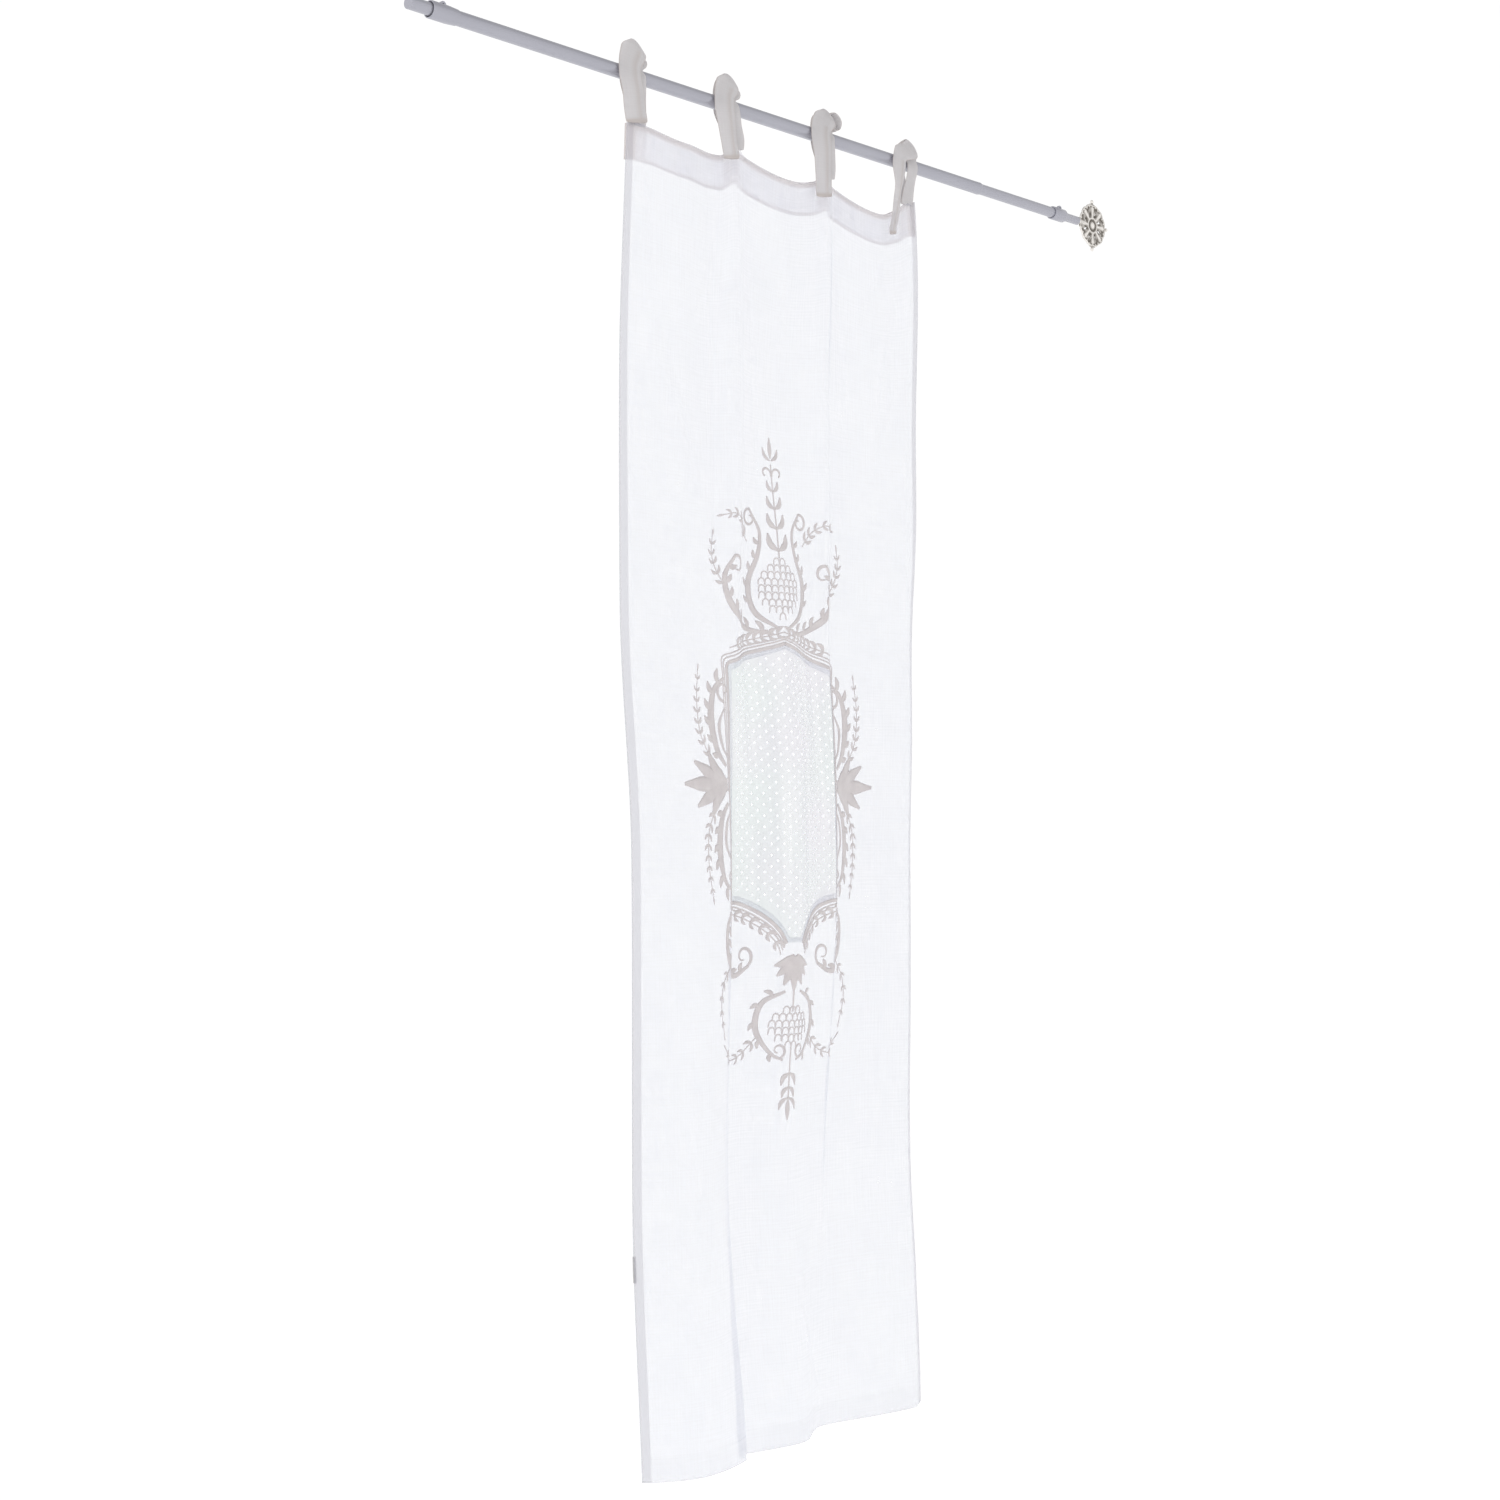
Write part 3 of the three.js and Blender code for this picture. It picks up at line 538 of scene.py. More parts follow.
def stripLoft(bm, rows, puckers, folds=False):
    # a ribbon lofted through the rows: a grid rolled into a flat tube, its seam merged, its ends closed
    centres = [Vector(r[:3]) for r in rows]
    table = []
    for i, row in enumerate(rows):
        onward = centres[min(i + 1, len(rows) - 1)] - centres[max(i - 1, 0)]
        head = Vector((0, *row[6:])) if row[6:] else onward
        table.append([*centres[i], *row[3:6], *head.normalized()])
    lengths = np.concatenate([[0], np.cumsum([(b - a).length for a, b in zip(centres, centres[1:])])])
    count, around = max(24, int(lengths[-1] / tieSize["along"])), tieSize["around"]
    spots = np.linspace(0, lengths[-1], count + 1)
    curves = [through(lengths, column, spots) for column in zip(*table)]
    layer = bm.verts.layers.float.get("layers") or bm.verts.layers.float.new("layers")
    uv = bm.loops.layers.uv.verify()
    made = bmesh.ops.create_grid(bm, x_segments=count, y_segments=around, size=0.5)["verts"]
    faces = {f for v in made for f in v.link_faces}
    flat = {}
    for v in made:
        i, j = round((v.co.x + 0.5) * count), round((v.co.y + 0.5) * around)
        x, y, z, width, thick, turn, *head = (curve[i] for curve in curves)
        head = Vector(head).normalized()
        angle = 2 * pi * (j % around) / around
        side = Vector((cos(radians(turn)), -sin(radians(turn)), 0))
        side = (side - head * side.dot(head)).normalized()
        # a flattened round: nearly the full width, blunt at the edges
        s = copysign(abs(cos(angle)) ** 0.6, cos(angle))
        f = copysign(abs(sin(angle)) ** 0.8, sin(angle))
        swell = puckers(spots[i] / lengths[-1], s, thick)
        place = Vector((x, y, z)) + side * (s * width / 2) + head.cross(side) * (f * thick / 2 + swell)
        flat[v] = (s * width / 2 * mm, spots[i] * mm)
        v.co = place * mm
        edge = abs(s) > 0.95 or spots[i] > lengths[-1] - tieSize["hemmedEnd"]
        # a painted shade line along the fold, drawn as darker, denser cloth through the layers attribute
        foldShadeLine = folds and abs(s - tailFold["at"]) < 0.02 and spots[i] / lengths[-1] > tailFold["ends"]
        v[layer] = 1.0 if edge else tailFold["tone"] if foldShadeLine else 0.0
    for face in faces:
        for loop in face.loops:
            loop[uv].uv = flat[loop.vert]
    bmesh.ops.remove_doubles(bm, verts=made, dist=1e-6)
    ends = [e for e in bm.edges if e.is_boundary]
    bmesh.ops.holes_fill(bm, edges=ends, sides=0)
    bmesh.ops.recalc_face_normals(bm, faces=bm.faces)


# the third tie's end comes out of its knot again in a small loop
looseLoop = [
    (117, -9, 34, 15, 2.6, 74), (126, -9.5, 44, 18, 2.6, 74), (138, -10, 47, 20, 2.8, 74),
    (149, -10.5, 42, 20, 2.8, 74), (155.5, -11, 32, 20, 2.8, 74), (152, -11.5, 21, 19, 2.8, 74),
    (142, -12, 14.5, 18, 2.6, 74), (128, -12.5, 14, 16, 2.6, 74),
]


def makeTies():
    for number, tie in enumerate(ties, 1):
        phase = 1.7 * number

        def knotPuckers(t, s, thick):
            # gathers where the strip is bunched into the knot
            bunched = max(0, min(1, (thick - 4) / 14))
            return bunched * 0.9 * sin(9 * s + phase) + 0.35 * sin(14 * t + 2 * s + phase)

        def tailPuckers(t, s, thick):
            # slight waves, and the lengthwise fold from the hood's ridge down
            fold = min(1, max(0, (t - tailFold["starts"]) / (tailFold["ends"] - tailFold["starts"])))
            bend = tailFold["bend"] * fold * max(0, s - tailFold["at"])
            return 0.3 * sin(3.1 * s + 5 * t + phase) + 0.25 * sin(17 * t + phase) - bend

        knot, tail = bmesh.new(), bmesh.new()
        stripLoft(knot, knotRows(tie), knotPuckers)
        stripLoft(tail, tailRows(tie), tailPuckers, folds=True)
        if number == 3:
            stripLoft(knot, looseLoop, knotPuckers)
        for bm, part in ((knot, "Knot"), (tail, "Tail")):
            node = f"tie_{number}_{part.lower()}_strip"
            strip = newPiece(f"tie{number}{part}Strip", bm, tieLinen, node)
            soft = strip.modifiers.new("soft", "SUBSURF")
            soft.levels = soft.render_levels = 1


# The net
# Bobbinet of fine cotton: mostly holes, a cool white against the light, with woven dots.
def netMaterial():
    material, add = newMaterial("dotted cotton net")
    place = add("UVMap")
    # holes of about 1 mm, drawn 1.6 mm wide
    cells = add("Mapping", Vector=place, Scale=(620, 620, 1))
    mesh = add("TexBrick", Vector=cells, Color1=(0, 0, 0, 1), Color2=(0, 0, 0, 1), Mortar=(1, 1, 1, 1),
               Scale=1.0, Mortar_Size=0.16, Mortar_Smooth=0.6, Brick_Width=1.0, Row_Height=0.8)
    dragged = add("Mapping", Vector=place, Scale=(38, 2.2, 1))
    drag = add("TexNoise", Vector=dragged, Scale=1.0, Detail=2.0)
    cover = add("MapRange", Value=mesh, To_Min=0.36, To_Max=0.4)
    uneven = add("MapRange", Value=drag, From_Min=0.3, From_Max=0.7, To_Min=-0.08, To_Max=0.08)
    share = add("Math", {"operation": "ADD"}, in_0=cover, in_1=uneven)
    bump = add("Bump", Strength=0.08, Distance=0.0003, Height=mesh)
    cloud = add("TexNoise", Vector=place, Scale=5.0, Detail=1.0)
    tint = add("MapRange", Value=cloud, From_Min=0.38, From_Max=0.62)
    colour = add("Mix", rgba, Factor=tint, in_6=linear("#E2E9E9"), in_7=linear("#E6E5EB")).outputs[2]
    thread = add("BsdfPrincipled", Base_Color=colour, Roughness=0.85, Normal=bump)
    glow = add("BsdfTranslucent", Color=colour)
    body = add("MixShader", in_0=0.3, in_1=thread, in_2=glow)
    holes = add("BsdfTransparent")
    mixed = add("MixShader", in_0=share, in_1=holes, in_2=body)
    add("OutputMaterial", Surface=mixed)
    return material


def threadMaterial(name, light, dark, roughness, paintedGlow=0.0):
    # satin stitch: threads side by side across each shape, with a soft shine along them; the colour is darker
    # in the grooves between the threads and lighter on their crowns, a painted shade and painted sheen that
    # follow the bump
    stitchWidth = 0.0011
    material, add = newMaterial(name)
    place = add("UVMap")
    rows = add("Mapping", Vector=place, Scale=(1 / stitchWidth, 1, 1))
    stitches = add("TexWave", Vector=rows, Scale=0.3, Distortion=1.2, Detail=1.0).outputs["Fac"]
    spot = add("TexCoord").outputs["Object"]
    patch = add("TexNoise", Vector=spot, Scale=45.0, Detail=3.0)
    # the stitches' waves darken the grooves and lighten the crowns, painted shade and sheen; the patches are
    # random tone
    stitchShadeAndPatches = add("Math", {"operation": "MULTIPLY_ADD"}, in_0=stitches, in_1=0.45, in_2=patch)
    tone = add("MapRange", Value=stitchShadeAndPatches, From_Min=0.4, From_Max=1.05)
    colour = add("Mix", rgba, Factor=tone, in_6=linear(dark), in_7=linear(light))
    bump = add("Bump", Strength=0.5, Distance=0.0004, Height=stitches)
    # the emission is a painted glow that makes the thread brighter than the light falling on it; it is zero
    # unless asked for
    thread = add("BsdfPrincipled", Base_Color=colour.outputs[2], Roughness=roughness, Sheen_Weight=0.2,
                 Emission_Color=(1, 1, 1, 1), Emission_Strength=paintedGlow, Normal=bump)
    add("OutputMaterial", Surface=thread)
    return material


satin = threadMaterial("cotton satin stitch", "#E2DCDC", "#CEC7C8", 0.6)
# white cotton stays darker than the net around it in this light, so the dots get a painted glow, a little
# emission that lifts them
dotThread = threadMaterial("white cotton dots", "#FFFFFF", "#F8FAFA", 0.8, paintedGlow=0.31)
dots = {"apart": 24.5, "rows": 10.5, "half": 150, "radius": 2.5, "high": 0.5, "clear": 1.5, "thick": 0.25}


def makeNet():
    w = window
    reach = w["half"] + 12
    acrosses = evenStops(w["middle"] - reach, w["middle"] + reach, 6)
    bm = flatSheet(acrosses, evenStops(w["apex"] - 16, w["foot"] + 16, 8), cloth["netBehind"])
    trimTo(bm, windowOutline(9), keepInside=True)
    hangMesh(bm)
    net = newPiece("netSheet", bm, netMaterial(), "net_inset")
    solidify(net, 0.3)
    # woven dots in staggered rows
    edge = windowOutline(-6)
    bm = bmesh.new()
    for row, down in enumerate(np.arange(w["apex"] + 8, w["foot"], dots["rows"])):
        start = w["middle"] - dots["half"] + (row % 2) * dots["apart"] / 2
        for x in np.arange(start, w["middle"] + dots["half"], dots["apart"]):
            if insideOf(edge, x, down):
                made = bmesh.ops.create_circle(bm, cap_ends=True, cap_tris=True, segments=6,
                                               radius=dots["radius"])
                for v in made["verts"]:
                    high = dots["high"] if v.co.length < 0.1 else 0
                    v.co = (x + v.co.x, down + v.co.y, cloth["netBehind"] - dots["clear"] - high)
    hangMesh(bm)
    tufts = newPiece("netDots", bm, dotThread)
    solidify(tufts, dots["thick"])
    return net, tufts


# The embroidery
# Own leafy scroll work round the window. Points are (across from the middle, down) in millimetres.
def smoothPath(points, spacing=3.2):
    points = [np.array(p, float) for p in points]
    if len(points) == 2:
        points.insert(1, (points[0] + points[1]) / 2)
    runs = np.concatenate([[0], np.cumsum([np.linalg.norm(b - a) for a, b in zip(points, points[1:])])])
    count = max(4, int(runs[-1] / spacing))
    ts = np.linspace(0, runs[-1], count + 1)
    # a Catmull-Rom curve through the points
    padded = [2 * points[0] - points[1], *points, 2 * points[-1] - points[-2]]
    out = []
    for t in ts:
        i = min(int(np.searchsorted(runs, t, side="right")) - 1, len(points) - 2)
        u = (t - runs[i]) / (runs[i + 1] - runs[i])
        a, b, c, d = padded[i : i + 4]
        square, cube = 2 * a - 5 * b + 4 * c - d, 3 * b - a - 3 * c + d
        out.append(0.5 * (2 * b + (c - a) * u + square * u**2 + cube * u**3))
    return np.array(out)


strokes = []


def stroke(points, widths, both=True):
    strokes.append((points, widths))
    if both:
        strokes.append(([(-x, y) for x, y in points], widths))


def leaf(x, y, angle, length, width, bend=0.18, both=True):
    # angle in degrees: 0 points out to the right, 90 up
    a = radians(angle)
    out = np.array([cos(a), -sin(a)])
    side = np.array([-out[1], out[0]])
    start = np.array([x, y], float)
    middle = start + out * 0.5 * length + side * bend * length
    stroke([start, middle, start + out * length], [0.25 * width, width, 0.9 * width, 0.2 * width], both)


def scroll(cx, cy, outer, inner, start, end, widths, both=True):
    # a spiral from the outer radius in to the inner one; angles as for leaves
    steps = max(6, int(abs(end - start) / 30))
    points = []
    for i in range(steps + 1):
        t = i / steps
        a = radians(start + (end - start) * t)
        r = outer + (inner - outer) * t
        points.append((cx + r * cos(a), cy - r * sin(a)))
    stroke(points, widths, both)
    return points


def aimOf(run):
    return degrees(atan2(-run[1], run[0]))


def spotAlong(line, share):
    # a place along the line, and which way the line runs there
    k = int(share * (len(line) - 2))
    return line[k][0], line[k][1], aimOf(line[k + 1] - line[k])


def branch(points, count, length, width):
    # a curved stem with pairs of leaves that grow smaller towards its tip
    stroke(points, [2.0, 2.0, 1.4])
    line = smoothPath(points)
    for i in range(count):
        t = (i + 0.8) / (count + 0.6)
        k = min(int(t * (len(line) - 1)), len(line) - 2)
        aim = aimOf(line[k + 1] - line[k])
        size = 1 - 0.45 * t
        for lean, bend in ((38, -0.12), (-38, 0.12)):
            leaf(line[k][0], line[k][1], aim + lean, length * size, width * size, bend)
    leaf(line[-1][0], line[-1][1], aimOf(line[-1] - line[-3]), 0.7 * length, 0.6 * width, 0)


def fan(x, y, aim, spread, count, length, width, both=True):
    for i in range(count):
        t = 2 * i / (count - 1) - 1
        angle = aim + t * spread
        leaf(x + 4 * cos(radians(angle)), y - 4 * sin(radians(angle)), angle,
             length * (1 - 0.35 * abs(t)), width * (1 - 0.2 * abs(t)), 0.1 * t, both)


def leafEdge(points, count, length, width, side):
    # short pointed lobes along the outer edge of a scroll
    line = smoothPath(points)
    for i in range(count):
        x, y, aim = spotAlong(line, (i + 0.7) / (count + 0.4))
        leaf(x, y, aim + side * 48, length * (1 - 0.3 * i / count), width, -0.15 * side)


def scales(top, rows, half, wide=13.5, high=13):
    # rows of small overlapping arches in the middle, fewer at both ends
    for row in range(rows):
        room = half * sin(pi * (row + 0.9) / (rows + 0.6))
        count = max(1, int(2 * room / wide))
        for i in range(count):
            cx = (i - (count - 1) / 2) * wide
            y = top + row * high
            stroke([(cx - wide / 2, y + high), (cx - wide / 2.6, y + 3), (cx, y), (cx + wide / 2.6, y + 3),
                    (cx + wide / 2, y + high)], [2.2, 2.4, 2.4, 2.2], both=False)


def drawBorder():
    for margin, width in ((11, 6), (18.5, 2.6), (23.5, 2.4)):
        stroke(windowHalf(margin, 8), [width, width])
    # laurel over the arch, and the same below the foot
    arch = windowHalf(32, 8)[:8]
    foot = [p for p in windowHalf(31, 8) if p[1] > 1398]
    for path, count, turned, outer, inner in ((arch, 8, 180, 21, 17), (foot, 7, 0, 20, 16)):
        line = smoothPath(path)
        for i in range(1, count + 1):
            x, y, aim = spotAlong(line, i / (count + 1))
            leaf(x, y, aim + turned - 32, outer, 7)
            leaf(x, y, aim + turned + 32, inner, 6, -0.18)
        stroke(path, [2.2, 2.2])


def drawTop():
    leaf(0, 548, 90, 40, 9, 0, both=False)
    leaf(2, 552, 52, 30, 7)
    scroll(15, 578, 14, 5, 200, -60, [2, 4, 3])
    stroke([(0, 560), (0, 740)], [2.4, 3.2], both=False)
    for down, size in ((612, 24), (646, 29), (684, 34), (726, 39)):
        leaf(1, down, 58, size, 0.3 * size)
    lyre = [(10, 874), (58, 842), (70, 790), (46, 736), (40, 690), (62, 650)]
    stroke(lyre, [4, 10, 12, 8, 6, 4])
    scroll(62, 668, 18, 5, 90, -270, [4, 5, 4, 2.5])
    leafEdge(lyre[1:5], 5, 22, 8, -1)
    outer = [(22, 884), (88, 872), (140, 836), (156, 786), (132, 744)]
    stroke(outer, [4, 9, 13, 10, 5])
    scroll(127, 762, 18, 9, 75, 290, [5, 6, 4, 2.5])
    leafEdge(outer, 7, 26, 9, 1)
    branch([(70, 712), (96, 684), (128, 668), (156, 672)], 5, 21, 7)
    branch([(150, 806), (172, 780), (184, 744), (180, 712)], 5, 19, 6.5)
    scales(740, 9, 54)


def drawSides():
    middle = 1168
    for flip in (1, -1):
        def at(x, y):
            return (x, middle - flip * y)

        bow = [at(164, 196), at(192, 172), at(206, 120), at(196, 66), at(172, 34)]
        stroke(bow, [4, 11, 17, 13, 6])
        start = 90 - 180 * flip
        scroll(166, middle - flip * 172, 20, 5, start, start + 330 * flip, [5, 6, 4, 2.5])
        stroke([at(166, 140), at(184, 108), at(178, 70), at(166, 52)], [2, 7, 7, 3])
        line = smoothPath(bow)
        for i in range(6):
            x, y, aim = spotAlong(line, (i + 0.7) / 6.6)
            leaf(x, y, aim + 180 - 52 * flip, 27 - 1.5 * i, 11, 0.15 * flip)
        branch([at(214, 44), at(240, 86), at(244, 144), at(232, 206)], 8, 18, 6.5)
    fan(168, middle, 0, 46, 5, 122, 26)
    scroll(168, middle, 11, 11, 0, 360, [3.2, 3.2])
    stroke([(158, middle - 22), (153, middle), (158, middle + 22)], [3, 6, 3])


def drawBottom():
    fan(0, 1482, -90, 62, 7, 66, 18, both=False)
    scales(1580, 6, 52)
    outer = [(152, 1392), (182, 1430), (176, 1486), (134, 1520), (92, 1504)]
    stroke(outer, [4, 9, 13, 10, 5])
    scroll(106, 1486, 22, 6, 240, -100, [5, 6, 4, 2.5])
    leafEdge(outer, 7, 25, 9, -1)
    lyre = [(18, 1552), (62, 1574), (72, 1620), (44, 1664), (16, 1680)]
    stroke(lyre, [4, 9, 11, 7, 4])
    leafEdge(lyre, 5, 21, 8, 1)
    scroll(26, 1662, 15, 4, 250, -80, [4, 5, 3, 2.5])
    stroke([(0, 1546), (0, 1590)], [4, 2.6], both=False)
    stroke([(0, 1658), (0, 1762)], [2.6, 3], both=False)
    for down, size in ((1704, 28), (1730, 24)):
        leaf(1, down, -56, size, 0.3 * size, -0.18)
    branch([(66, 1634), (104, 1668), (150, 1676), (186, 1650)], 6, 19, 6)
    branch([(168, 1500), (200, 1532), (210, 1576), (196, 1622)], 5, 17, 5.5)
    leaf(0, 1752, -90, 40, 9, 0, both=False)
    leaf(2, 1750, -52, 28, 7, -0.18)


stitching = {"widen": 1.15, "above": 0.25, "thick": 1.9, "edgeShare": 0.35, "rows": 4}


def sewEmbroidery():
    bm = bmesh.new()
    weight = bm.verts.layers.deform.verify()
    for points, widths in strokes:
        line = smoothPath(points)
        count = len(line) - 1
        runs = np.concatenate([[0], np.cumsum(np.linalg.norm(np.diff(line, axis=0), axis=1))])
        tangent = np.gradient(line, axis=0)
        tangent /= np.maximum(np.linalg.norm(tangent, axis=1, keepdims=True), 1e-9)
        normal = np.stack([-tangent[:, 1], tangent[:, 0]], axis=1)
        width = np.interp(runs / runs[-1], np.linspace(0, 1, len(widths)), widths) * stitching["widen"]
        made = bmesh.ops.create_grid(bm, x_segments=count, y_segments=stitching["rows"], size=0.5)
        for v in made["verts"]:
            i, s = round((v.co.x + 0.5) * count), 2 * v.co.y
            flat = line[i] + normal[i] * s * width[i] / 2
            v.co = (window["middle"] + flat[0], flat[1], stitching["above"])
            v[weight][0] = max(0.0, 1 - s * s)
    hangMesh(bm)
    piece = newPiece("satinEmbroidery", bm, satin)
    piece.vertex_groups.new(name="raised")
    solidify(piece, stitching["thick"], offset=0.0, group="raised", thinnest=stitching["edgeShare"])
    return piece


print("camera and cloth ready")
panel = makePanel()
heading = makeHeading()
print("panel and heading hung")
makeTies()
print("ties knotted")
net, netDots = makeNet()
drawBorder()
drawTop()
drawSides()
drawBottom()
embroidery = sewEmbroidery()
print("net and embroidery sewn in,", len(strokes), "shapes")


# The label: its stops across, where it starts and ends down the hem, how far behind it is
labelSize = {"acrosses": [-1, 0, 1, 2, 3.3, 4.5], "top": 1998, "foot": 2044, "behind": 2.4, "thick": 0.6}


def makeLabel():
    material = threadMaterial("woven label tape", "#DAD7D5", "#CAC6C4", 0.75)
    downs = evenStops(labelSize["top"], labelSize["foot"], 6)
    bm = flatSheet(labelSize["acrosses"], downs, labelSize["behind"])
    hangMesh(bm)
    label = newPiece("labelTag", bm, material, "care_label")
    solidify(label, labelSize["thick"])
    return label


label = makeLabel()


# The rod
# Steel tube with silvery satin paint: smooth, a little orange peel, a pale cool grey.
def paintMaterial():
    material, add = newMaterial("satin paint on steel tube")
    place = add("TexCoord").outputs["Object"]
    peel = add("TexNoise", Vector=place, Scale=900.0, Detail=1.0)
    drift = add("TexNoise", Vector=place, Scale=7.0, Detail=2.0)
    colour = add("Mix", rgba, Factor=drift, in_6=linear("#A7A7B1"), in_7=linear("#B3B3BC"))
    gloss = add("MapRange", Value=drift, From_Min=0.3, From_Max=0.7, To_Min=0.3, To_Max=0.42)
    bump = add("Bump", Strength=0.08, Distance=0.0003, Height=peel)
    paint = add("BsdfPrincipled", Base_Color=colour.outputs[2], Roughness=gloss, Metallic=0.55,
                Coat_Weight=0.3, Coat_Roughness=0.2, Normal=bump)
    add("OutputMaterial", Surface=paint)
    return material


# Zinc die casting with an antique silver finish: bright on the high parts, a warm mid grey in the recesses.
def silverMaterial():
    material, add = newMaterial("antique silver on cast zinc")
    place = add("TexCoord").outputs["Object"]
    depth = add("Attribute", {"attribute_name": "recess"}).outputs["Fac"]
    grain = add("TexNoise", Vector=place, Scale=260.0, Detail=4.0)
    dark = add("Math", {"operation": "MULTIPLY_ADD"}, in_0=grain, in_1=0.3, in_2=depth)
    tone = add("MapRange", Value=dark, From_Min=0.35, From_Max=1.15)
    colour = add("Mix", rgba, Factor=tone, in_6=linear("#F4F0EB"), in_7=linear("#7C766F"))
    rough = add("MapRange", Value=tone, To_Min=0.38, To_Max=0.8)
    bump = add("Bump", Strength=0.3, Distance=0.0004, Height=grain)
    metal = add("BsdfPrincipled", Base_Color=colour.outputs[2], Metallic=0.75, Roughness=rough, Normal=bump)
    add("OutputMaterial", Surface=metal)
    return material


paint = paintMaterial()
silver = silverMaterial()
# radii, and where each piece starts and ends along the rod
rod = {
    "tubeR": 12.5, "thinR": 11, "wall": 1.2, "gap": 0.3, "mouthR": 15, "socketR": 14, "neckR": 9,
    "stubR": 5.5, "outer": (-832, 614), "left": (-880, -700), "rightInner": (480,), "collar": (-837, -781),
    "socket": (868, 900), "neckEnd": 963, "stubDepth": 12, "sides": 64, "bevel": 0.35,
}
lug = {"fromMouth": 28, "half": 11, "flare": 1.25, "topR": 6, "top": 20, "foot": 8, "thick": 6, "hole": 2.4}


def spinProfile(bm, profile, sides):
    # profile of (radius, x), closed round, spun about the rod's axis
    verts = [bm.verts.new((x * mm, 0, radius * mm)) for radius, x in profile]
    edges = [bm.edges.new((a, b)) for a, b in zip(verts, verts[1:] + verts[:1])]
    bmesh.ops.spin(bm, geom=verts + edges, cent=(0, 0, 0), axis=(1, 0, 0), angle=2 * pi, steps=sides,
                   use_merge=True)
    bmesh.ops.remove_doubles(bm, verts=bm.verts, dist=1e-6)
    bmesh.ops.recalc_face_normals(bm, faces=bm.faces)


def addLug(bm, mouth):
    # an upright plate with a round top and a hole through it
    steps, reach, hole = 24, lug["topR"], lug["hole"]
    top, middle = lug["top"] - reach, mouth + lug["fromMouth"]
    outline, inline = [], []
    for i in range(steps):
        a = 2 * pi * i / steps
        x, z = reach * cos(a), top + reach * sin(a)
        if sin(a) < -0.05:
            spread = -sin(a)
            x = cos(a) * (reach + (lug["half"] * lug["flare"] - reach) * spread)
            z = top - spread * (top - lug["foot"])
        outline.append((x, z))
        inline.append((hole * cos(a), top + hole * sin(a)))
    rings = []
    for y in (-lug["thick"] / 2, lug["thick"] / 2):
        for shape in (outline, inline):
            rings.append([bm.verts.new(((middle + x) * mm, y * mm, z * mm)) for x, z in shape])
    loops = [[bm.edges.new((a, b)) for a, b in zip(ring, ring[1:] + ring[:1])] for ring in rings]
    made = []
    for a, b in ((0, 1), (2, 3), (0, 2), (1, 3)):
        made += bmesh.ops.bridge_loops(bm, edges=loops[a] + loops[b])["faces"]
    bmesh.ops.recalc_face_normals(bm, faces=made)


def addBevel(piece):
    edge = piece.modifiers.new("edge", "BEVEL")
    edge.width = rod["bevel"] * mm
    edge.segments = 2
    edge.limit_method = "ANGLE"
    edge.angle_limit = radians(35)
    edge.harden_normals = True


def makeRod():
    tube, thin, wall, gap, mouthR, socketR, neck, stubR = (
        rod[k] for k in ("tubeR", "thinR", "wall", "gap", "mouthR", "socketR", "neckR", "stubR")
    )
    start, end, left, leftIn, rightIn = rod["outer"] + rod["left"] + rod["rightInner"]
    (collar, collarEnd), (socket, socketEnd), neckEnd = rod["collar"], rod["socket"], rod["neckEnd"]
    tubeIn, thinIn, collarBore = tube - wall, thin - wall, tube + gap
    bore, stubBore, stubEnd = thin + gap, stubR + gap, neckEnd - rod["stubDepth"]
    # piece, CAD node, the mouth that its lug is measured from, and its section as (radius, x)
    shapes = [
        ("outerTube", "rod_outer_tube", None,
         [(tubeIn, start), (tube, start), (tube, end - 14), (tube + 0.25, end - 11), (tube + 0.25, end - 3),
          (tube - 0.4, end), (tubeIn, end)]),
        ("leftThinTube", "rod_left_tube", None,
         [(0, left), (thin - 0.6, left), (thin, left + 0.6), (thin, leftIn), (thinIn, leftIn),
          (thinIn, left + 2), (0, left + 2)]),
        ("rightThinTube", "rod_right_tube", None,
         [(thinIn, rightIn), (thin, rightIn), (thin, socketEnd - gap), (thinIn, socketEnd - gap)]),
        ("leftCollar", "rod_left_collar", collar,
         [(collarBore, collar), (mouthR - 0.6, collar), (mouthR, collar + 1), (mouthR, collarEnd - 20),
          (collarBore + 0.8, collarEnd), (collarBore, collarEnd)]),
        ("finialSocket", "finial_socket", socket,
         [(0, socketEnd), (bore, socketEnd), (bore, socket), (socketR - 0.6, socket), (socketR, socket + 1),
          (socketR, socket + 40), (neck, socket + 52), (neck, neckEnd), (stubBore, neckEnd),
          (stubBore, stubEnd), (0, stubEnd)]),
    ]
    for name, node, mouth, profile in shapes:
        bm = bmesh.new()
        spinProfile(bm, profile, rod["sides"])
        if mouth is not None:
            addLug(bm, mouth)
        addBevel(newPiece(name, bm, paint, node))


# The medallion
medallion = {
    "x": 1019, "disc": 44, "scallop": 2.2, "tip": 57.5, "ball": 4.5, "front": 0.8, "relief": 2.6,
    "plate": 3.6, "piercings": 8, "pierceFrom": 19, "pierceTo": 36, "pierceShare": 0.13, "rings": 34,
    "spokes": 192,
}


def bell(x, half):
    return exp(-((x / half) ** 2))


def reliefAt(radius, angle):
    # height of the front above the plate, 0 to 1
    t = radius / medallion["disc"]
    petals = abs(cos(0.5 * medallion["piercings"] * angle))
    beads = max(0, cos(24 * angle)) * bell(t - 0.93, 0.05)
    rim = bell(t - 1.0, 0.05)
    ring = bell(t - 0.36, 0.045)
    rib = bell(petals - 1, 0.16) * (0.35 < t < 0.9)
    boss = max(0, 1 - (t / 0.22) ** 2)
    swirl = 0.5 + 0.5 * sin(8 * angle + 16 * t)
    return max(0.85 * rim, 0.9 * beads, 0.8 * ring, 0.75 * rib, boss, 0.42 * swirl * (0.4 < t < 0.86))


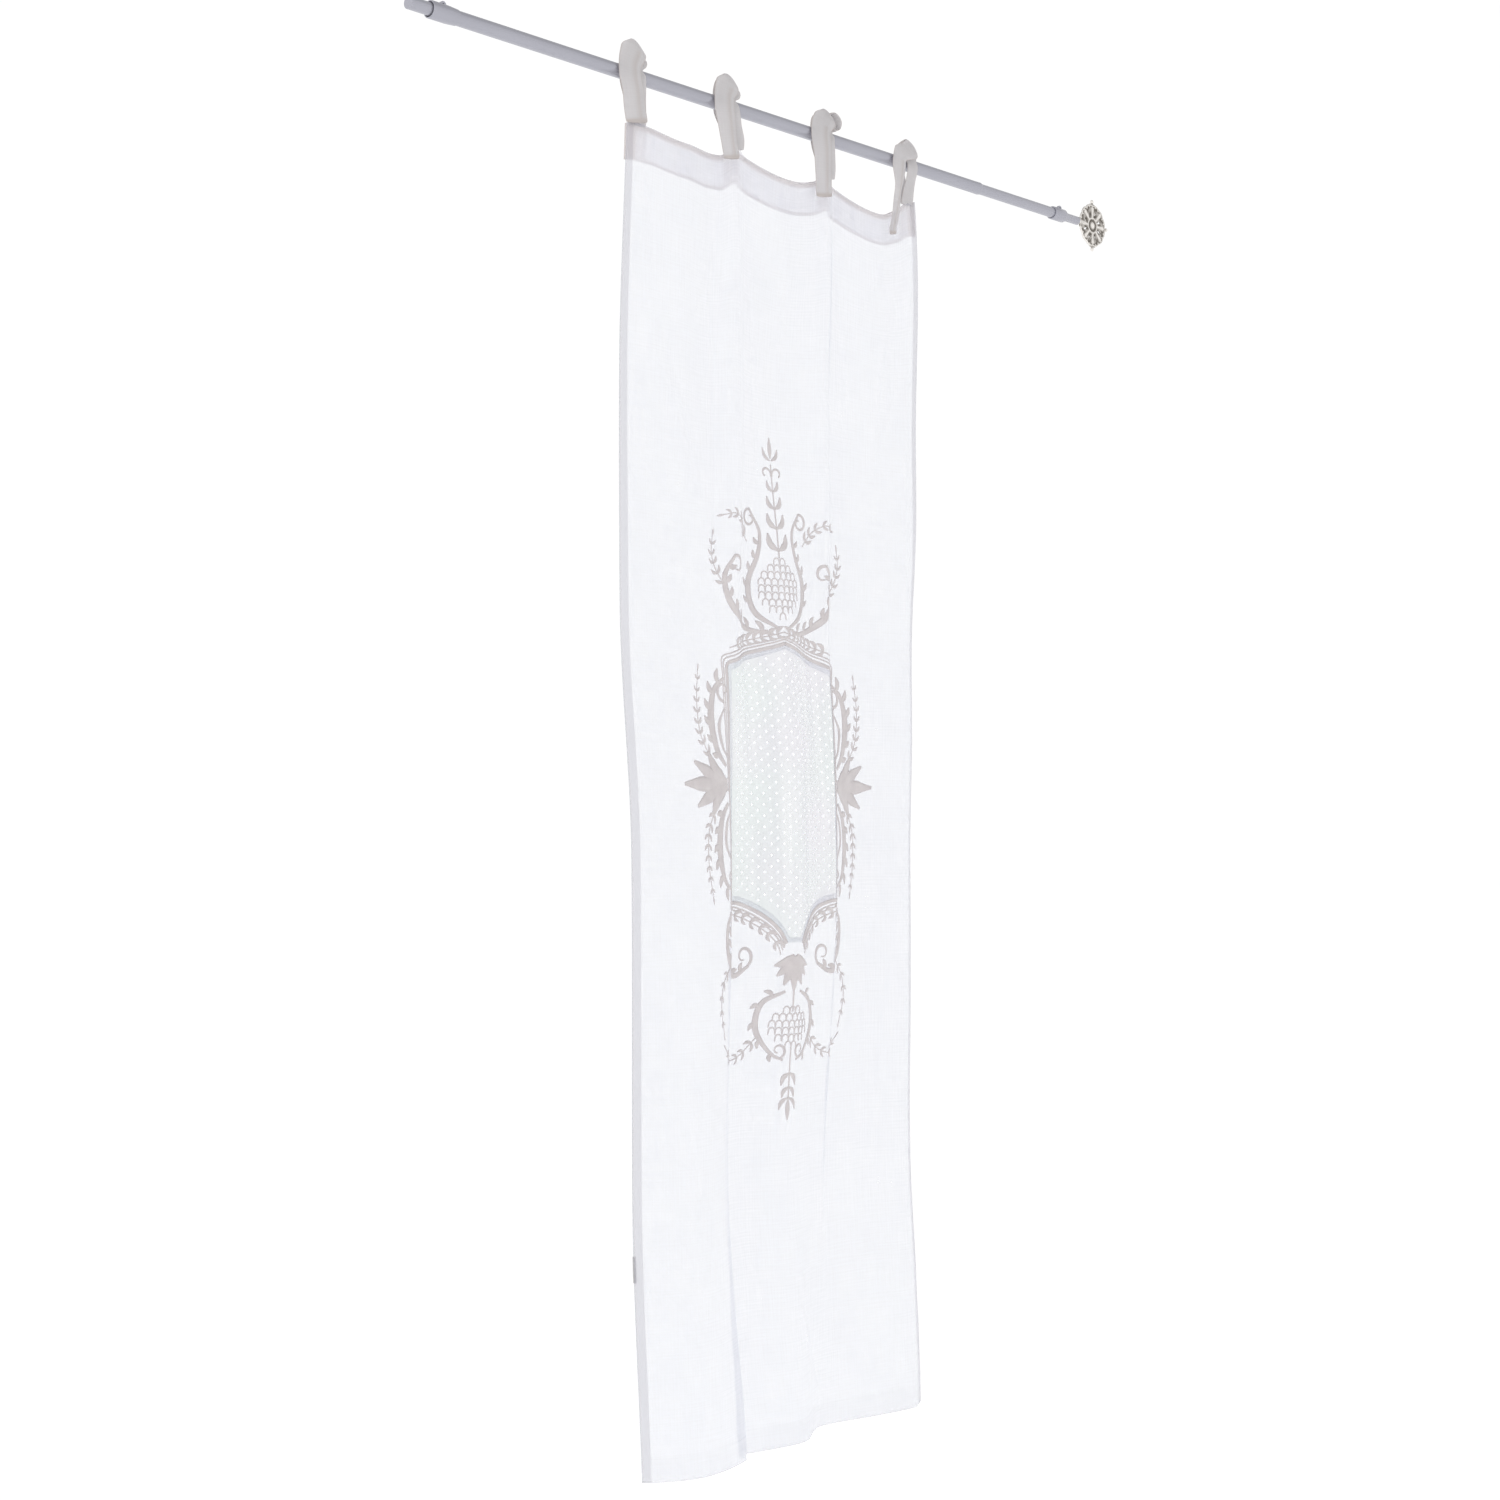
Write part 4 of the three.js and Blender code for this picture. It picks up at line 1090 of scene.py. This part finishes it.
def makeMedallion():
    m = medallion
    bm = bmesh.new()
    bmesh.ops.create_grid(bm, x_segments=m["rings"], y_segments=m["spokes"], size=0.5)
    recess = bm.verts.layers.float.new("recess")
    for v in bm.verts:
        t = v.co.x + 0.5
        angle = 2 * pi * (v.co.y + 0.5)
        scallop = 1 + m["scallop"] / m["disc"] * abs(sin(6 * angle))
        radius = m["disc"] * max(t, 0.0) * (scallop if t > 0.5 else 1 + (scallop - 1) * 2 * t)
        high = reliefAt(m["disc"] * t, angle)
        v[recess] = 1 - high
        depth = -(m["front"] + m["relief"] * high)
        v.co = ((m["x"] + radius * cos(angle)) * mm, depth * mm, radius * sin(angle) * mm)
    holes = []
    for face in bm.faces:
        c = face.calc_center_median()
        dx, dz = c.x / mm - m["x"], c.z / mm
        radius, angle = hypot(dx, dz), atan2(dz, dx)
        phase = (angle * m["piercings"] / (2 * pi)) % 1
        along = (radius - m["pierceFrom"]) / (m["pierceTo"] - m["pierceFrom"])
        wide = m["pierceShare"] * sin(pi * min(1, max(0, along)))
        if 0 < along < 1 and abs(phase - 0.5) < wide:
            holes.append(face)
    bmesh.ops.delete(bm, geom=holes, context="FACES")
    bmesh.ops.remove_doubles(bm, verts=bm.verts, dist=1e-5)
    bmesh.ops.recalc_face_normals(bm, faces=bm.faces)
    if sum(f.normal.y * f.calc_area() for f in bm.faces) > 0:
        # the front faces the room
        bmesh.ops.reverse_faces(bm, faces=bm.faces)
    plate = newPiece("castMedallion", bm, silver, "finial_medallion")
    solidify(plate, m["plate"], offset=-1.0)
    # four tips: a stem with two small leaves and a ball
    bm = bmesh.new()
    recess = bm.verts.layers.float.new("recess")
    lumps = [(m["tip"] - m["ball"], 0, (4.2, 3.6, 4.5)), (m["disc"] + 3.5, 0, (3.4, 2.8, 5.5)),
             (m["disc"] + 1, 6.5, (5.2, 2.2, 3)), (m["disc"] + 1, -6.5, (5.2, 2.2, 3))]
    for i in range(4):
        aim = pi / 2 * i
        out = Vector((cos(aim), 0, sin(aim)))
        side = Vector((-sin(aim), 0, cos(aim)))
        spin = Matrix((side, Vector((0, 1, 0)), out)).transposed().to_4x4()
        for along, sideways, size in lumps:
            centre = Vector((m["x"], 0, 0)) + out * along + side * sideways
            place = Matrix.Translation(centre * mm) @ spin @ Matrix.Diagonal((*[s * mm for s in size], 1))
            made = bmesh.ops.create_uvsphere(bm, u_segments=20, v_segments=12, radius=1.0, matrix=place)
            for v in made["verts"]:
                near = (v.co - centre * mm).length / (max(size) * mm)
                v[recess] = 0.25 if near > 0.8 else 0.7
    stubStart, stubEnd = rod["neckEnd"] - rod["stubDepth"] + 1, m["x"] - m["disc"] + 4
    spinProfile(bm, [(0, stubStart), (rod["stubR"], stubStart), (rod["stubR"], stubEnd), (0, stubEnd)], 32)
    newPiece("medallionTips", bm, silver)


makeRod()
makeMedallion()
print("rod and medallion made")


# Stage and light
stage = {"half": 40, "floor": -2.56, "glow": 0.47, "lamp": 13, "lampSize": 2.2}


def makeStage():
    bm = bmesh.new()
    bmesh.ops.create_grid(bm, x_segments=1, y_segments=1, size=stage["half"])
    bmesh.ops.translate(bm, verts=bm.verts, vec=(0, 0, stage["floor"]))
    mesh = bpy.data.meshes.new("floor")
    bm.to_mesh(mesh)
    bm.free()
    floor = addObject("floor", mesh)
    material, add = newMaterial("white studio floor")
    # lit from within a little, so that it stays as white as the wall
    matt = add("BsdfDiffuse", Color=(0.8, 0.8, 0.8, 1))
    lit = add("Emission", Color=(1, 1, 1, 1), Strength=stage["glow"])
    both = add("AddShader", in_0=matt, in_1=lit)
    add("OutputMaterial", Surface=both)
    mesh.materials.append(material)


def makeLight():
    world = bpy.data.worlds.new("studio")
    bpy.context.scene.world = world
    world.use_nodes = True
    world.node_tree.nodes.clear()
    add = partial(addNode, world.node_tree)
    toward = add("SeparateXYZ", Vector=add("TexCoord").outputs["Generated"]).outputs
    smooth = {"interpolation_type": "SMOOTHSTEP"}
    # the wall behind the cloth is bright, the room in front of it is dimmer
    bright = add("MapRange", smooth, Value=toward["Y"], From_Min=-0.5, From_Max=0.75, To_Min=0.95,
                 To_Max=1.03)
    # and the ceiling is dim
    ceiling = add("MapRange", smooth, Value=toward["Z"], From_Min=0.42, From_Max=0.8, To_Min=1.0,
                  To_Max=0.55)
    strength = add("Math", {"operation": "MULTIPLY"}, in_0=bright, in_1=ceiling)
    back = add("Background", Color=(1, 1, 1, 1), Strength=strength)
    add("OutputWorld", Surface=back)
    lamp = bpy.data.lights.new("softbox", "AREA")
    lamp.energy, lamp.size, lamp.shape = stage["lamp"], stage["lampSize"], "SQUARE"
    softbox = addObject("softbox", lamp)
    softbox.location = (-3.2, -1.2, 1.0)
    softbox.rotation_euler = (Vector((0, 0, -0.4)) - softbox.location).to_track_quat("-Z", "Y").to_euler()
    bpy.context.scene.view_settings.view_transform = "Standard"


makeStage()
makeLight()
